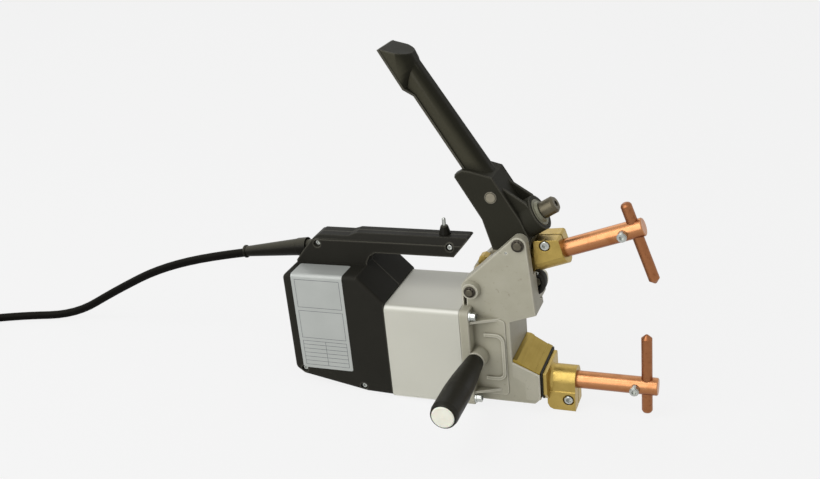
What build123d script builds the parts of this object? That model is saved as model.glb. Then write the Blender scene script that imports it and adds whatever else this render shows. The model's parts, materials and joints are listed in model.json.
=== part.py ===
"""Portable manual spot welder: transformer body, cast head, hand lever and two copper arms.

Everything is drawn in the machine's own frame: X runs forward along the lower arm, Z is up and
the origin is where the lower electrode crosses the lower arm. The near side is -Y. Just before
export each piece is tipped nose-up into the attitude in which the tool rests on a bench, on the
rear edge of its casing and the heel of the lower arm clamp, with the bench top at Z = 0.
Lengths are in millimetres and angles in degrees.
"""
from build123d import *
import os
from math import cos, sin, tan, radians, degrees, atan2, pi

# ---------------------------------------------------------------- driving dimensions
# transformer casing and the flange of the head
CASE_HALF_WIDTH = 52.0
CASE_BOTTOM = -17.4
CASE_TOP = 102.0
CASE_REAR = -284.4
CASE_SHEET = 2.0
CASE_CORNER = 6.0
FLANGE_REAR = -196.0
FLANGE_FRONT = -185.0
FLANGE_BOLT_Y = 46.0
FLANGE_BOLT_Z = (-9.0, 94.5)

# transformer inside the casing
CORE_X = (-272.0, -206.0)
CORE_HALF = 41.0
CORE_Z = (-6.0, 90.0)
LEG_HALF = 15.0
WINDOW_HALF = 28.0
WINDOW_Z = (10.0, 74.0)
SHELF_TOP = 76.0
FRAME_THICK = 2.5

# pivots, as (x, z) of axes that run along Y
LEVER_PIVOT = (-129.0, 177.5)
HOLDER_PIVOT = (-184.0, 122.5)
LEVER_PIN_R = 4.5
HOLDER_PIN_R = 4.0
ARM_ANGLE = 19.15
LEVER_ANGLE = 121.0
LEVER_TRAVEL = 46.0
ARM_TRAVEL = 18.5

# copper arms and electrodes
ARM_R = 10.0
ARM_FIT = 0.05
ELECTRODE_R = 6.0
ELECTRODE_FIT = 0.05
LOWER_ARM_REAR = -103.0
LOWER_ARM_FRONT = 12.4
LOWER_TIP = 64.3
LOWER_HEEL = -34.3
UPPER_ARM_AXIS = 5.5
UPPER_ARM_REAR = 76.0
UPPER_ARM_FRONT = 194.6
UPPER_ELECTRODE_U = 184.7
UPPER_TIP = -64.5
UPPER_HEEL = 31.0
COTTER_SETBACK = 12.0
COTTER_R = 5.3

# upper holder, in its own (u, v): u forward from its pivot, v across
HUB_R = 10.0
HUB_HALF = 12.5
BUSH_R = 7.0
UPPER_CLAMP_R = 16.5
EAR_HALF = 17.5
UPPER_BOLT = (91.0, 19.5)
UPPER_CLAMP_U = (73.0, 106.5)
CAM_PAD = (26.0, 43.0, 18.9)
UPPER_UNDER = -11.0
SHUNT_THICK = 5.0

# cast head
HEAD_HALF_WIDTH = 35.0
NOSE_FRONT = -112.7
NOSE_BOTTOM = -17.0
HEAD_FACE = -143.0
SLOT_HALF = 13.5
LEVER_SLOT_HALF = 22.5
LEVER_SLOT_R = 40.5

# lower clamp
CLAMP_R = 16.0
CLAMP_FRONT = -77.5
CLAMP_REAR = -106.5
CLAMP_HEEL = (-102.0, -33.0)
LOWER_BOLT = (-85.3, -19.0)

# hand lever, in its own (s, t): s along the lever from its pivot, t towards the palm
PLATE_HALF = 22.0
PLATE_THICK = 3.5
GRIP_HALF = 14.2
GRIP_CORNER = 11.0
LIP_HALF = 16.8
LIP_THICK = 2.4
GRIP_BACK = -12.0
GRIP_PALM = (11.0, 6.8)
CHANNEL_TOP = 5.0
GRIP_START = 72.0
SPOON_START = 191.0
SPOON_FULL = 203.0
SPOON_END = 252.5
SPOON_HALF = 22.0
SPOON_BACK = -16.0
SCOOP = [(203.0, -14.2, -11.5, -9.0), (208.0, -14.0, -7.0, -3.0), (212.0, -13.2, -2.0, 2.5),
         (216.0, -11.8, 2.0, 6.4), (222.0, -9.0, 4.0, 8.1), (230.0, -5.0, 5.2, 8.7),
         (238.0, -1.0, 6.0, 8.9), (SPOON_END, 5.0, 7.0, 9.0)]
BOSS_S = 13.0
BOSS_R = 20.0
BOSS_TOP = 28.0
BOSS_BORE = 15.8
BOSS_FLOOR = 8.0
CAP_BACK = 25.0
CAP_RIM = 3.5
CAP_THICK = 6.5
SCREW_R = 5.0
SCREW_HEAD_R = 9.4
SCREW_LONG = 17.0
SWITCH_STOP_S = 93.4
SWITCH_STOP_T = -6.4
CROSS_PIN = (57.0, -1.0)
CROSS_PIN_R = 5.2
PLUNGER_R = 4.5
ROLLER_T = -33.8
ROLLER_R = 5.0

# rear housing and the fixed handle on it
HOUSING_WALL = 3.0
HOUSING_HEEL = (-316.8, -13.5)
HANDLE_TOP = 171.8
HANDLE_UNDER = 150.5
SWITCH_X = -222.0
PIN_R = 2.2
PIN_FOOT = 162.9
PIN_TOP = 191.5
PIN_TRAVEL = 3.0

# side grip
GRIP_X = -181.0
GRIP_Z = 41.0
SIDE_GRIP_BASE = 52.3
FAR_BOSS = 45.5
SIDE_GRIP_END = 167.0
SIDE_GRIP_R = 15.3
GRIP_CAP_R = 12.4

# mains cord, its route as it lies on the bench (bench frame, centre line)
CORD_D = 10.5
CORD_ROUTE = [(-154.3, 57.8, 156.7), (-264.1, 57.8, 131.6), (-371.1, 57.8, 96.5), (-449.1, 55.8, 50.0),
              (-516.1, 49.8, 5.3), (-585.1, 23.3, 5.3), (-646.7, -13.5, 5.3)]
COIL_CENTRE = (-644.1, -97.2)
COIL_OUTER_R = 73.5
COIL_INNER_R = 42.0
COIL_EXIT_R = 64.3
COIL_EXIT_ANGLE = 240.0
TAIL_LENGTH = 75.0
PLUG_R = 19.0
RELIEF_WALL = 24.0
RELIEF_START = -12.0
RELIEF_SEAT_R = 8.0
RELIEF_COLLAR_R = 10.8

# attitude: the line from the casing's rear edge to the clamp's heel becomes the bench top
PITCH = degrees(atan2(CASE_BOTTOM - CLAMP_HEEL[1], CLAMP_HEEL[0] - CASE_REAR))
MIDDLE_X = -240.3
MIDDLE_Y = -57.8


def to_bench(point):
    """A machine point (x, y, z) as it lies on the bench, from the middle of the tool."""
    turn = radians(PITCH)
    floor = CASE_BOTTOM * cos(turn) + CASE_REAR * sin(turn)
    x = point[0] * cos(turn) - point[2] * sin(turn)
    z = point[0] * sin(turn) + point[2] * cos(turn)
    return (x - MIDDLE_X, point[1] - MIDDLE_Y, z - floor)


def from_bench(point):
    """The machine point of a bench point."""
    turn = radians(PITCH)
    floor = CASE_BOTTOM * cos(turn) + CASE_REAR * sin(turn)
    x = point[0] + MIDDLE_X
    z = point[2] + floor
    return (x * cos(turn) + z * sin(turn), point[1] + MIDDLE_Y, z * cos(turn) - x * sin(turn))


BENCH = Pos(*to_bench((0, 0, 0))) * Rot(0, -PITCH, 0)

# ---------------------------------------------------------------- drawing planes
SIDE = Plane(origin=(0, 0, 0), x_dir=(1, 0, 0), z_dir=(0, -1, 0))
FRONT = Plane(origin=(0, 0, 0), x_dir=(0, 1, 0), z_dir=(1, 0, 0))
ARM_DIR = (cos(radians(ARM_ANGLE)), 0, sin(radians(ARM_ANGLE)))
ARM_UP = (-sin(radians(ARM_ANGLE)), 0, cos(radians(ARM_ANGLE)))
ARM = Plane(origin=(HOLDER_PIVOT[0], 0, HOLDER_PIVOT[1]), x_dir=ARM_DIR, z_dir=(0, -1, 0))
LEVER_DIR = (cos(radians(LEVER_ANGLE)), 0, sin(radians(LEVER_ANGLE)))
PALM_DIR = (sin(radians(LEVER_ANGLE)), 0, -cos(radians(LEVER_ANGLE)))
LEVER = Plane(origin=(LEVER_PIVOT[0], 0, LEVER_PIVOT[1]), x_dir=LEVER_DIR, z_dir=(0, 1, 0))


def arm_point(u, v, y=0.0):
    """Machine point at u along and v above the upper holder's own line."""
    x = HOLDER_PIVOT[0] + u * ARM_DIR[0] + v * ARM_UP[0]
    z = HOLDER_PIVOT[1] + u * ARM_DIR[2] + v * ARM_UP[2]
    return (x, y, z)


def lever_point(s, t, y=0.0):
    """Machine point at s along the hand lever and t towards its palm side."""
    x = LEVER_PIVOT[0] + s * LEVER_DIR[0] + t * PALM_DIR[0]
    z = LEVER_PIVOT[1] + s * LEVER_DIR[2] + t * PALM_DIR[2]
    return (x, y, z)


# ---------------------------------------------------------------- shape helpers
def outline(*points):
    return Polygon(*points, align=None)


def slab(plane, shape, low, high):
    """Extrude a flat shape drawn on plane, from low to high along the plane's normal."""
    return extrude(plane.offset(low) * shape, amount=high - low, dir=plane.z_dir)


def slice_y(shape, low, high):
    """A side view (x, z) given thickness from y = low to y = high."""
    return slab(SIDE, shape, -high, -low)


def bar(start, end, radius):
    """Round bar between two points."""
    run = Vector(*end) - Vector(*start)
    lie = Plane(origin=start, z_dir=run.normalized())
    return lie * Cylinder(radius, run.length, align=(Align.CENTER, Align.CENTER, Align.MIN))


def pin_y(place, radius, low, high):
    """Round bar along Y at (x, z)."""
    return bar((place[0], low, place[1]), (place[0], high, place[1]), radius)


def block(x, y, z):
    """Box from three (low, high) pairs."""
    size = Box(x[1] - x[0], y[1] - y[0], z[1] - z[0])
    return Pos((x[0] + x[1]) / 2, (y[0] + y[1]) / 2, (z[0] + z[1]) / 2) * size


def turned(start, direction, points):
    """Solid of revolution from (radius, height) points, standing on start along direction."""
    face = Plane.XZ * outline(*points)
    return Plane(origin=start, z_dir=direction) * revolve(face, Axis.Z)


def cap_screw(seat, inward, size, length):
    """Hexagon socket cap screw: its head stands on seat and its shank runs inward."""
    head_r = 0.75 * size + 0.5
    outward = (-inward[0], -inward[1], -inward[2])
    edge = 0.1 * size
    head = turned(seat, outward, [(0, 0), (head_r, 0), (head_r, size - edge), (head_r - edge, size), (0, size)])
    socket = extrude(RegularPolygon(0.42 * size, 6, major_radius=False), amount=0.55 * size)
    top = Vector(*seat) + Vector(*outward) * (size + 0.01)
    head -= Plane(origin=top, z_dir=inward) * socket
    tip = Vector(*seat) + Vector(*inward) * length
    return head + bar(seat, tuple(tip), size / 2)


pieces = {}


def keep(name, *solids):
    """Store a piece; several solids stay separate in one node."""
    found = []
    for solid in solids:
        found += list(solid.solids())
    pieces[name] = found


# ---------------------------------------------------------------- transformer
def casing():
    half = CASE_HALF_WIDTH
    middle = (CASE_BOTTOM + CASE_TOP) / 2
    height = CASE_TOP - CASE_BOTTOM
    outer = Pos(0, middle) * RectangleRounded(2 * half, height, CASE_CORNER)
    inner = Pos(0, middle) * RectangleRounded(2 * (half - CASE_SHEET), height - 2 * CASE_SHEET,
                                              CASE_CORNER - CASE_SHEET)
    return slab(FRONT, outer - inner, CASE_REAR, FLANGE_REAR)


def transformer():
    """Shell-type core with windows through X, a primary round its middle leg and one heavy turn."""
    core = block(CORE_X, (-CORE_HALF, CORE_HALF), CORE_Z)
    for side in (-1, 1):
        window = sorted((side * LEG_HALF, side * WINDOW_HALF))
        core -= block((CORE_X[0] - 1, CORE_X[1] + 1), window, WINDOW_Z)
    keep("transformer_core", core)

    end = 9.0
    gap = 1.0
    coil_z = (WINDOW_Z[0] + gap, 47.0)
    coil_out = WINDOW_HALF - gap
    coil_in = LEG_HALF + gap
    coil = block((CORE_X[0] - end, CORE_X[1] + end), (-coil_out, coil_out), coil_z)
    coil = fillet(coil.edges().filter_by(Axis.Z), end - 2)
    coil -= block((CORE_X[0] - gap, CORE_X[1] + gap), (-coil_in, coil_in), (0, 60))
    keep("primary_winding", coil)

    bar_z = (52.0, 69.0)
    back = CORE_X[0] - 8.0
    turn = block((back, -150.0), (-coil_out, coil_out), bar_z)
    turn -= block((back + 7.0, -140.0), (-coil_in, coil_in), (40, 80))
    link = block((-178.0, -170.0), (coil_in, coil_out), (-8.0, bar_z[0]))
    foot = block((-178.0, -129.0), (coil_in, coil_out), (-8.0, 0.0))
    shelf = block((-166.0, -150.0), (-coil_out, 10.0), (bar_z[1], SHELF_TOP))
    turn -= block((-169.9, -140.0), (0, coil_out + 1), (40, bar_z[1]))
    keep("secondary_turn", turn + link + foot + shelf)


# ---------------------------------------------------------------- cast head
def head_casting():
    width = HEAD_HALF_WIDTH
    ax, az = LEVER_PIVOT
    bx, bz = HOLDER_PIVOT
    top_ring = Pos(ax, az) * Circle(9.0)
    rear_ring = Pos(bx, bz) * Circle(12.0)
    foot = Polyline((-113.0, 95.0), (HEAD_FACE, 84.5), (-196.0, 100.0))
    cheek = make_hull(top_ring.edges() + rear_ring.edges() + foot.edges())
    nose = outline((-190, NOSE_BOTTOM), (-119.5, NOSE_BOTTOM), (NOSE_FRONT, -10.5), (NOSE_FRONT, 20.3),
                   (HEAD_FACE, 34.0), (HEAD_FACE, 100), (-190, 100))
    body = slice_y(cheek + nose, -width, width)
    rims = body.faces().sort_by(Axis.Y)
    body = fillet(rims[0].edges() + rims[-1].edges(), 1.2)

    flange = slab(FRONT, Pos(0, (CASE_BOTTOM + CASE_TOP) / 2)
                  * RectangleRounded(2 * CASE_HALF_WIDTH, CASE_TOP - CASE_BOTTOM, CASE_CORNER),
                  FLANGE_REAR, FLANGE_FRONT)
    flange = chamfer(flange.faces().sort_by(Axis.X)[-1].edges(), 1.0)
    flange = chamfer(flange.faces().sort_by(Axis.X)[0].edges(), 0.7)
    body += flange

    # ribs, pads and bosses on both flanks
    for side in (-1, 1):
        wall = side * width
        out = side * 1.0
        pad = Pos(-167, 39.5) * RectangleRounded(37, 95, 5)
        body += slice_y(pad, min(wall, wall + out), max(wall, wall + out))
        for rib_z in (85.5, -3.0):
            rib = outline((FLANGE_FRONT - 1, wall), (FLANGE_FRONT - 1, wall + side * 14), (-154, wall))
            body += slab(Plane.XY, rib, rib_z, rib_z + 3)
        body += slice_y(raised_hook(), min(wall, wall + 3.2 * side), max(wall, wall + 3.2 * side))
        reach = (FAR_BOSS if side > 0 else CASE_HALF_WIDTH) - width + 1
        body += turned((GRIP_X, wall - side, GRIP_Z), (0, side, 0), [(0, 0), (12.0, 0), (10.8, reach), (0, reach)])
        body += turned((bx, wall - side, bz), (0, side, 0), [(0, 0), (10.8, 0), (9.0, 8.0), (0, 8.0)])

    # slot for the holder, with a round floor at the front, and the wider slot for the lever
    body -= block((-260, -90), (-SLOT_HALF, SLOT_HALF), (115, 230))
    body -= bar((-152, 0, 115), (-90, 0, 115), SLOT_HALF)
    body -= block((-181, -151), (-SLOT_HALF, SLOT_HALF), (70, 116))
    body -= block((-260, -181), (-SLOT_HALF, SLOT_HALF), (CASE_TOP, 116))
    body -= pin_y(LEVER_PIVOT, LEVER_SLOT_R, -LEVER_SLOT_HALF, LEVER_SLOT_HALF)
    for side in (-1, 1):
        near = sorted((side * 24.0, side * (width + 1)))
        body -= block((-194.0, -190.5), near, (CASE_TOP, 113.5))
    body -= block((-118.5, -100), (0, width + 1), (60, 175))

    # hollow nose for the secondary bars, and the seat of the terminal block
    hollow = outline((-200, -11), (-124, -11), (-124, 8), (-147, 22), (-147, 78), (-200, 78))
    body -= slice_y(hollow, -28.6, 28.6)
    seat = outline((-143.2, 50), (-143.2, 15.8), (-129.2, 8.8), (-129.2, -12.2), (-100, -12.2), (-100, 50))
    body -= slice_y(seat, -33.2, 33.2)

    # room for a grip on the far boss, and the bores
    body -= bar((GRIP_X, FAR_BOSS, GRIP_Z), (GRIP_X, 60, GRIP_Z), 12.8)
    body -= pin_y(LEVER_PIVOT, LEVER_PIN_R + 0.03, -60, 60)
    body -= pin_y(HOLDER_PIVOT, HOLDER_PIN_R + 0.03, -60, 60)
    for side in (-1, 1):
        body -= bar((GRIP_X, side * 30, GRIP_Z), (GRIP_X, side * 60, GRIP_Z), 5.05)
        body -= pin_y((-142.5, 168.0), 1.4, side * 33 - 3, side * 33 + 3)
        for z in FLANGE_BOLT_Z:
            body -= bar((-200, side * FLANGE_BOLT_Y, z), (-180, side * FLANGE_BOLT_Y, z), 3.2)
    return body


def raised_hook():
    """Side view of the hook-shaped bead on each flank."""
    path = FilletPolyline((-173, 68.0), (-151.5, 68.0), (-151.5, 13.5), (-173, 13.5), radius=8)
    return trace(path, 3.8)


def flange_bolts():
    """Four long cap screws, each with its plain washer, and the nuts and frame at their far ends."""
    bolts = []
    nuts = []
    for side in (-1, 1):
        for z in FLANGE_BOLT_Z:
            y = side * FLANGE_BOLT_Y
            screw = cap_screw((FLANGE_FRONT + 1.6, y, z), (-1, 0, 0), 6.0, 96.6)
            bolts.append(screw + bar((FLANGE_FRONT, y, z), (FLANGE_FRONT + 1.8, y, z), 6.0))
            nut = extrude(RegularPolygon(3.8, 6, major_radius=False) - Circle(3.05), amount=4.5)
            lie = Plane(origin=(CORE_X[0] - FRAME_THICK, y, z), x_dir=(0, 0, 1), z_dir=(-1, 0, 0))
            nuts.append(lie * nut)
    keep("flange_bolts", *bolts)
    keep("tie_nuts", *nuts)

    # steel frame inside the rear of the casing, which the nuts pull against the core
    middle = (CASE_BOTTOM + CASE_TOP) / 2
    sheet = Pos(0, middle) * RectangleRounded(99.0, CASE_TOP - CASE_BOTTOM - 5.0, 3.5)
    sheet -= Pos(0, (CORE_Z[0] + CORE_Z[1]) / 2) * RectangleRounded(60.0, 78.0, 4.0)
    frame = slab(FRONT, sheet, CORE_X[0] - FRAME_THICK, CORE_X[0])
    for side in (-1, 1):
        for z in FLANGE_BOLT_Z:
            y = side * FLANGE_BOLT_Y
            frame -= bar((CORE_X[0] - 5, y, z), (CORE_X[0] + 5, y, z), 3.1)
    keep("rear_frame", frame)


# ---------------------------------------------------------------- lower terminal and clamp
def terminal_block():
    """Brass block let into the nose; its sloping top has a raised band along the rear and the front."""
    side_view = outline((-143, 36.9), (-138.1, 36.3), (-133.8, 33.75), (-134.2, 33.06), (-118.5, 23.8),
                        (-118.2, 24.4), (-116.3, 23.3), (-113, 21.9), (-113, -12), (-129, -12), (-129, 9),
                        (-143, 16))
    solid = slice_y(side_view, -33.0, 33.0)
    for y in (-10, 10):
        solid -= bar((-135, y, 0), (-110, y, 0), 3.1)
    return solid


def lower_insulator():
    shape = outline((-31, 21.6), (31, 21.6), (31, -8), (23, -15.5), (-23, -15.5), (-31, -8))
    sheet = slab(FRONT, shape, -112.6, -110.7)
    return sheet - block((-115, -108), (-26, 26), (-9, 15))


def lower_holder():
    """Brass base plate and split clamp, cast in one, with the ears hanging down."""
    shape = outline((-29, 19.5), (27, 19.5), (29, 17), (29, -7), (20, -17), (-20, -17), (-29, -7))
    base = slab(FRONT, shape, -110.6, CLAMP_REAR)
    base += block((-112.9, -110.6), (-25.5, 25.5), (-8.5, 14.5))
    low = CLAMP_HEEL[1]
    ring = Circle(CLAMP_R) + Pos(0, low / 2) * Rectangle(2 * CLAMP_R, -low)
    clamp = slab(FRONT, ring, CLAMP_REAR, CLAMP_FRONT)
    ears = Pos(0, (low - 9) / 2) * RectangleRounded(2 * CLAMP_R + 1.4, -low - 9, 0.6)
    clamp += slab(FRONT, ears, -109.5, CLAMP_FRONT)
    heel = outline((-112, -17), (-109.5, -17), (-109.5, -25.5), (-107.0, -30.6), (-102.0, low), (-112, low - 2))
    clamp -= slice_y(heel, -20, 20)
    solid = base + clamp
    solid += turned((CLAMP_REAR, 0, 0), (1, 0, 0), [(0, 0), (19.5, 0), (17.0, 1.2), (CLAMP_R, 3.6), (0, 3.6)])
    solid -= slice_y(heel, -25, 25)
    solid -= bar((-105, 0, 0), (-70, 0, 0), ARM_R + ARM_FIT)
    solid -= block((-106.5, -70), (-1.25, 1.25), (-40, 0))
    bolt = LOWER_BOLT
    solid -= pin_y(bolt, 3.1, -30, 30)
    solid -= pin_y(bolt, 6.6, -30, -11.5)
    for y in (-10, 10):
        solid -= bar((-120, y, 0), (-108.0, y, 0), 3.1)
    return solid


def lower_parts():
    keep("terminal_block", terminal_block())
    keep("terminal_insulator", lower_insulator())
    keep("lower_holder", lower_holder())
    keep("lower_clamp_bolt", cap_screw((LOWER_BOLT[0], -11.5, LOWER_BOLT[1]), (0, 1, 0), 6.0, 26.0))
    screws = [cap_screw((-129.0, y, 0), (1, 0, 0), 6.0, 20.0) for y in (-10, 10)]
    keep("terminal_screws", *screws)

    arm = turned((LOWER_ARM_REAR, 0, 0), (1, 0, 0), arm_outline(LOWER_ARM_FRONT - LOWER_ARM_REAR))
    arm -= bar((0, 0, -20), (0, 0, 20), ELECTRODE_R + ELECTRODE_FIT)
    arm -= pin_y((-COTTER_SETBACK, 0), COTTER_R + 0.05, -20, 20)
    keep("lower_arm", arm)
    keep("lower_cotter", cotter(SIDE, -COTTER_SETBACK, 0))
    keep("lower_electrode", turned((0, 0, LOWER_HEEL), (0, 0, 1), electrode_outline(LOWER_TIP - LOWER_HEEL)))


def arm_outline(length):
    edge = 1.0
    return [(0, 0), (ARM_R - edge, 0), (ARM_R, edge), (ARM_R, length - edge), (ARM_R - edge, length), (0, length)]


def electrode_outline(length):
    """Round at the heel, with a short blunt cone at the working tip."""
    r = ELECTRODE_R
    heel = [(0, 0), (0.45 * r, 0.3), (0.8 * r, 1.5), (r, 3.6)]
    tip = [(r, length - 4.6), (0.35 * r, length - 0.7), (0.2 * r, length), (0, length)]
    return heel + tip


def cotter(plane, u, v):
    """Steel taper cotter that locks the electrode in the arm's end, with its nut end proud."""
    radius = COTTER_R
    stub = slab(plane, Pos(u, v) * Circle(radius), -10.5, 16.0)
    stub += slab(plane, Pos(u, v) * Circle(radius - 0.8), 16.0, 17.5)
    socket = slab(plane, Pos(u, v) * RegularPolygon(2.4, 6, major_radius=False), 14.0, 18.0)
    return stub - socket


# ---------------------------------------------------------------- upper holder and arm
def upper_holder():
    """Brass rocker: hub on its pin, neck, cam pad under the plunger and a split clamp on top."""
    hub = slab(ARM, Circle(HUB_R), -HUB_HALF, HUB_HALF)
    neck_view = outline((0, -9.5), (8, -11), (62, -11), (70, -5), (80, -5), (80, 9), (48, 12),
                        (CAM_PAD[1], CAM_PAD[2]), (CAM_PAD[0], CAM_PAD[2]), (20, 12), (14, 9), (0, 9))
    neck = slab(ARM, neck_view, -HUB_HALF, HUB_HALF)
    neck -= slab(ARM, outline((10, 13), (60, 13), (60, 30), (10, 30)), 9, 20)
    neck -= slab(ARM, outline((10, 13), (60, 13), (60, 30), (10, 30)), -20, -9)
    axis = UPPER_ARM_AXIS
    lie = Plane(origin=arm_point(UPPER_CLAMP_U[0], axis), z_dir=ARM_DIR)
    long = UPPER_CLAMP_U[1] - UPPER_CLAMP_U[0]
    barrel = lie * Cylinder(UPPER_CLAMP_R, long, align=(Align.CENTER, Align.CENTER, Align.MIN))
    ear_view = outline((73, 1.5), (75.5, 12), (80.5, 26.5), (82, 28), (106, 22.3), (107.5, 20.5), (107, 8), (105.5, 1.5))
    ears = slab(ARM, ear_view, -EAR_HALF, EAR_HALF)
    lug = slab(ARM, outline((7, 5), (20, 5), (19.5, 20), (16, 24.0), (11, 24.0), (7, 19)), -6.0, 6.0)
    solid = hub + neck + barrel + ears + lug
    front = outline((UPPER_CLAMP_U[1], -20), (120, -20), (120, 40), (108, 40), (107.6, 8))
    solid -= slab(ARM, front, -30, 30)
    solid -= bar(arm_point(75, axis), arm_point(130, axis), ARM_R + ARM_FIT)
    solid -= slab(ARM, outline((72, axis), (130, axis), (130, 40), (72, 40)), -1.25, 1.25)
    solid -= bar(lever_point(BOSS_S, -6), lever_point(BOSS_S, 40), BOSS_R + 1.0)
    solid -= slab(ARM, Pos(*UPPER_BOLT) * Circle(3.1), -30, 30)
    solid -= slab(ARM, Pos(*UPPER_BOLT) * Circle(6.1), 12.0, 30)
    solid -= slab(ARM, Circle(BUSH_R + 0.05), -30, 30)
    solid -= bar(arm_point(50, -20), arm_point(50, -3), 1.55)
    return solid


def upper_parts():
    keep("upper_holder", upper_holder())
    seat = arm_point(UPPER_BOLT[0], UPPER_BOLT[1], -12.0)
    keep("upper_clamp_bolt", cap_screw(seat, (0, 1, 0), 6.0, 28.0))
    axis = UPPER_ARM_AXIS
    arm = turned(arm_point(UPPER_ARM_REAR, axis), ARM_DIR, arm_outline(UPPER_ARM_FRONT - UPPER_ARM_REAR))
    cross = UPPER_ELECTRODE_U
    arm -= bar(arm_point(cross, -20), arm_point(cross, 30), ELECTRODE_R + ELECTRODE_FIT)
    arm -= slab(ARM, Pos(cross - COTTER_SETBACK, axis) * Circle(COTTER_R + 0.05), -20, 20)
    keep("upper_arm", arm)
    keep("upper_cotter", cotter(ARM, cross - COTTER_SETBACK, axis))
    down = (-ARM_UP[0], 0, -ARM_UP[2])
    keep("upper_electrode", turned(arm_point(cross, axis + UPPER_HEEL), down,
                                   electrode_outline(UPPER_HEEL - UPPER_TIP)))


def pivots():
    bushes = []
    for side in (-1, 1):
        bush = turned((HOLDER_PIVOT[0], side * 0.4, HOLDER_PIVOT[1]), (0, side, 0),
                      [(HOLDER_PIN_R + 0.05, 0), (BUSH_R, 0), (BUSH_R, 12.3), (HUB_R, 12.3),
                       (HUB_R, 13.0), (HOLDER_PIN_R + 0.05, 13.0)])
        bushes.append(bush)
    keep("holder_bushes", *bushes)
    keep("holder_pin", pin_with_ends(HOLDER_PIVOT, HOLDER_PIN_R, 46.0))
    keep("holder_pin_clips", *clips(HOLDER_PIVOT, HOLDER_PIN_R, 42.2))
    keep("lever_pin", pin_with_ends(LEVER_PIVOT, LEVER_PIN_R, 38.5))
    keep("lever_pin_clips", *clips(LEVER_PIVOT, LEVER_PIN_R, 35.2))


def pin_with_ends(place, radius, half):
    """Pin with both ends chamfered."""
    solid = pin_y(place, radius, -half, half)
    return chamfer(solid.edges(), 0.6)


def clips(place, radius, start):
    """Toothed lock rings pressed on both ends of a pin."""
    rings = []
    for side in (-1, 1):
        ring = Circle(radius + 2.4) - Circle(radius + 0.02)
        ring -= Pos(0, -radius - 1.7) * Rectangle(2.6, 3.2)
        lie = Plane(origin=(place[0], side * start, place[1]), x_dir=(1, 0, 0), z_dir=(0, side, 0))
        rings.append(lie * extrude(ring, amount=1.3))
    return rings


# ---------------------------------------------------------------- hand lever
def lever_cut(s):
    """Plane across the lever at s, with its own x across the lever and y towards the palm."""
    return Plane(origin=lever_point(s, 0), x_dir=(0, -1, 0), z_dir=LEVER_DIR)


def crown_section(s, palm):
    """Grip without its lip: straight flanks and a round palm side."""
    low = GRIP_BACK + 1
    shape = Pos(0, (palm + low) / 2) * Rectangle(2 * GRIP_HALF, palm - low)
    return lever_cut(s) * fillet(shape.vertices().group_by(Axis.Y)[-1], GRIP_CORNER)


def lip_section(s, half, back):
    """Flat lip along the edge of the lever that faces the machine."""
    return lever_cut(s) * Pos(0, back + LIP_THICK / 2) * Rectangle(2 * half, LIP_THICK)


def scoop_section(s, edge, middle, top):
    """Flared end at s, as heights of its surface over the lip's edge, over the crown's side and on top."""
    base = SPOON_BACK + 1.3
    right = [(SPOON_HALF - 1.0, edge), (GRIP_HALF + 0.3, middle), (5.0, top)]
    left = [(-x, y) for x, y in reversed(right)]
    lines = [Line((left[-1][0], base), (right[0][0], base)), Line((right[0][0], base), right[0]),
             ThreePointArc(*right), Line(right[-1], left[0]), ThreePointArc(*left),
             Line(left[-1], (left[-1][0], base))]
    return lever_cut(s) * make_face(lines)


def lever_view(inset):
    """Side view of the lever's forked root, or of the hollow inside it."""
    deep = 12.0 if inset else 0.0
    return outline((5.7 + inset, -33.5 - deep), (41.0, -24.0 - deep), (95.5, -23.2 - deep),
                   (98.0 - inset, -21.0 - deep), (98.0 - inset, -11.0), (92.7 - inset, -4.3 - inset / 2),
                   (75.0 - inset / 2, 12.8 - inset), (20.0, 12.8 - inset), (-5.0, 9.0 - inset),
                   (-9.2 + inset, 2.0), (-9.2 + inset, -8.0))


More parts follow.
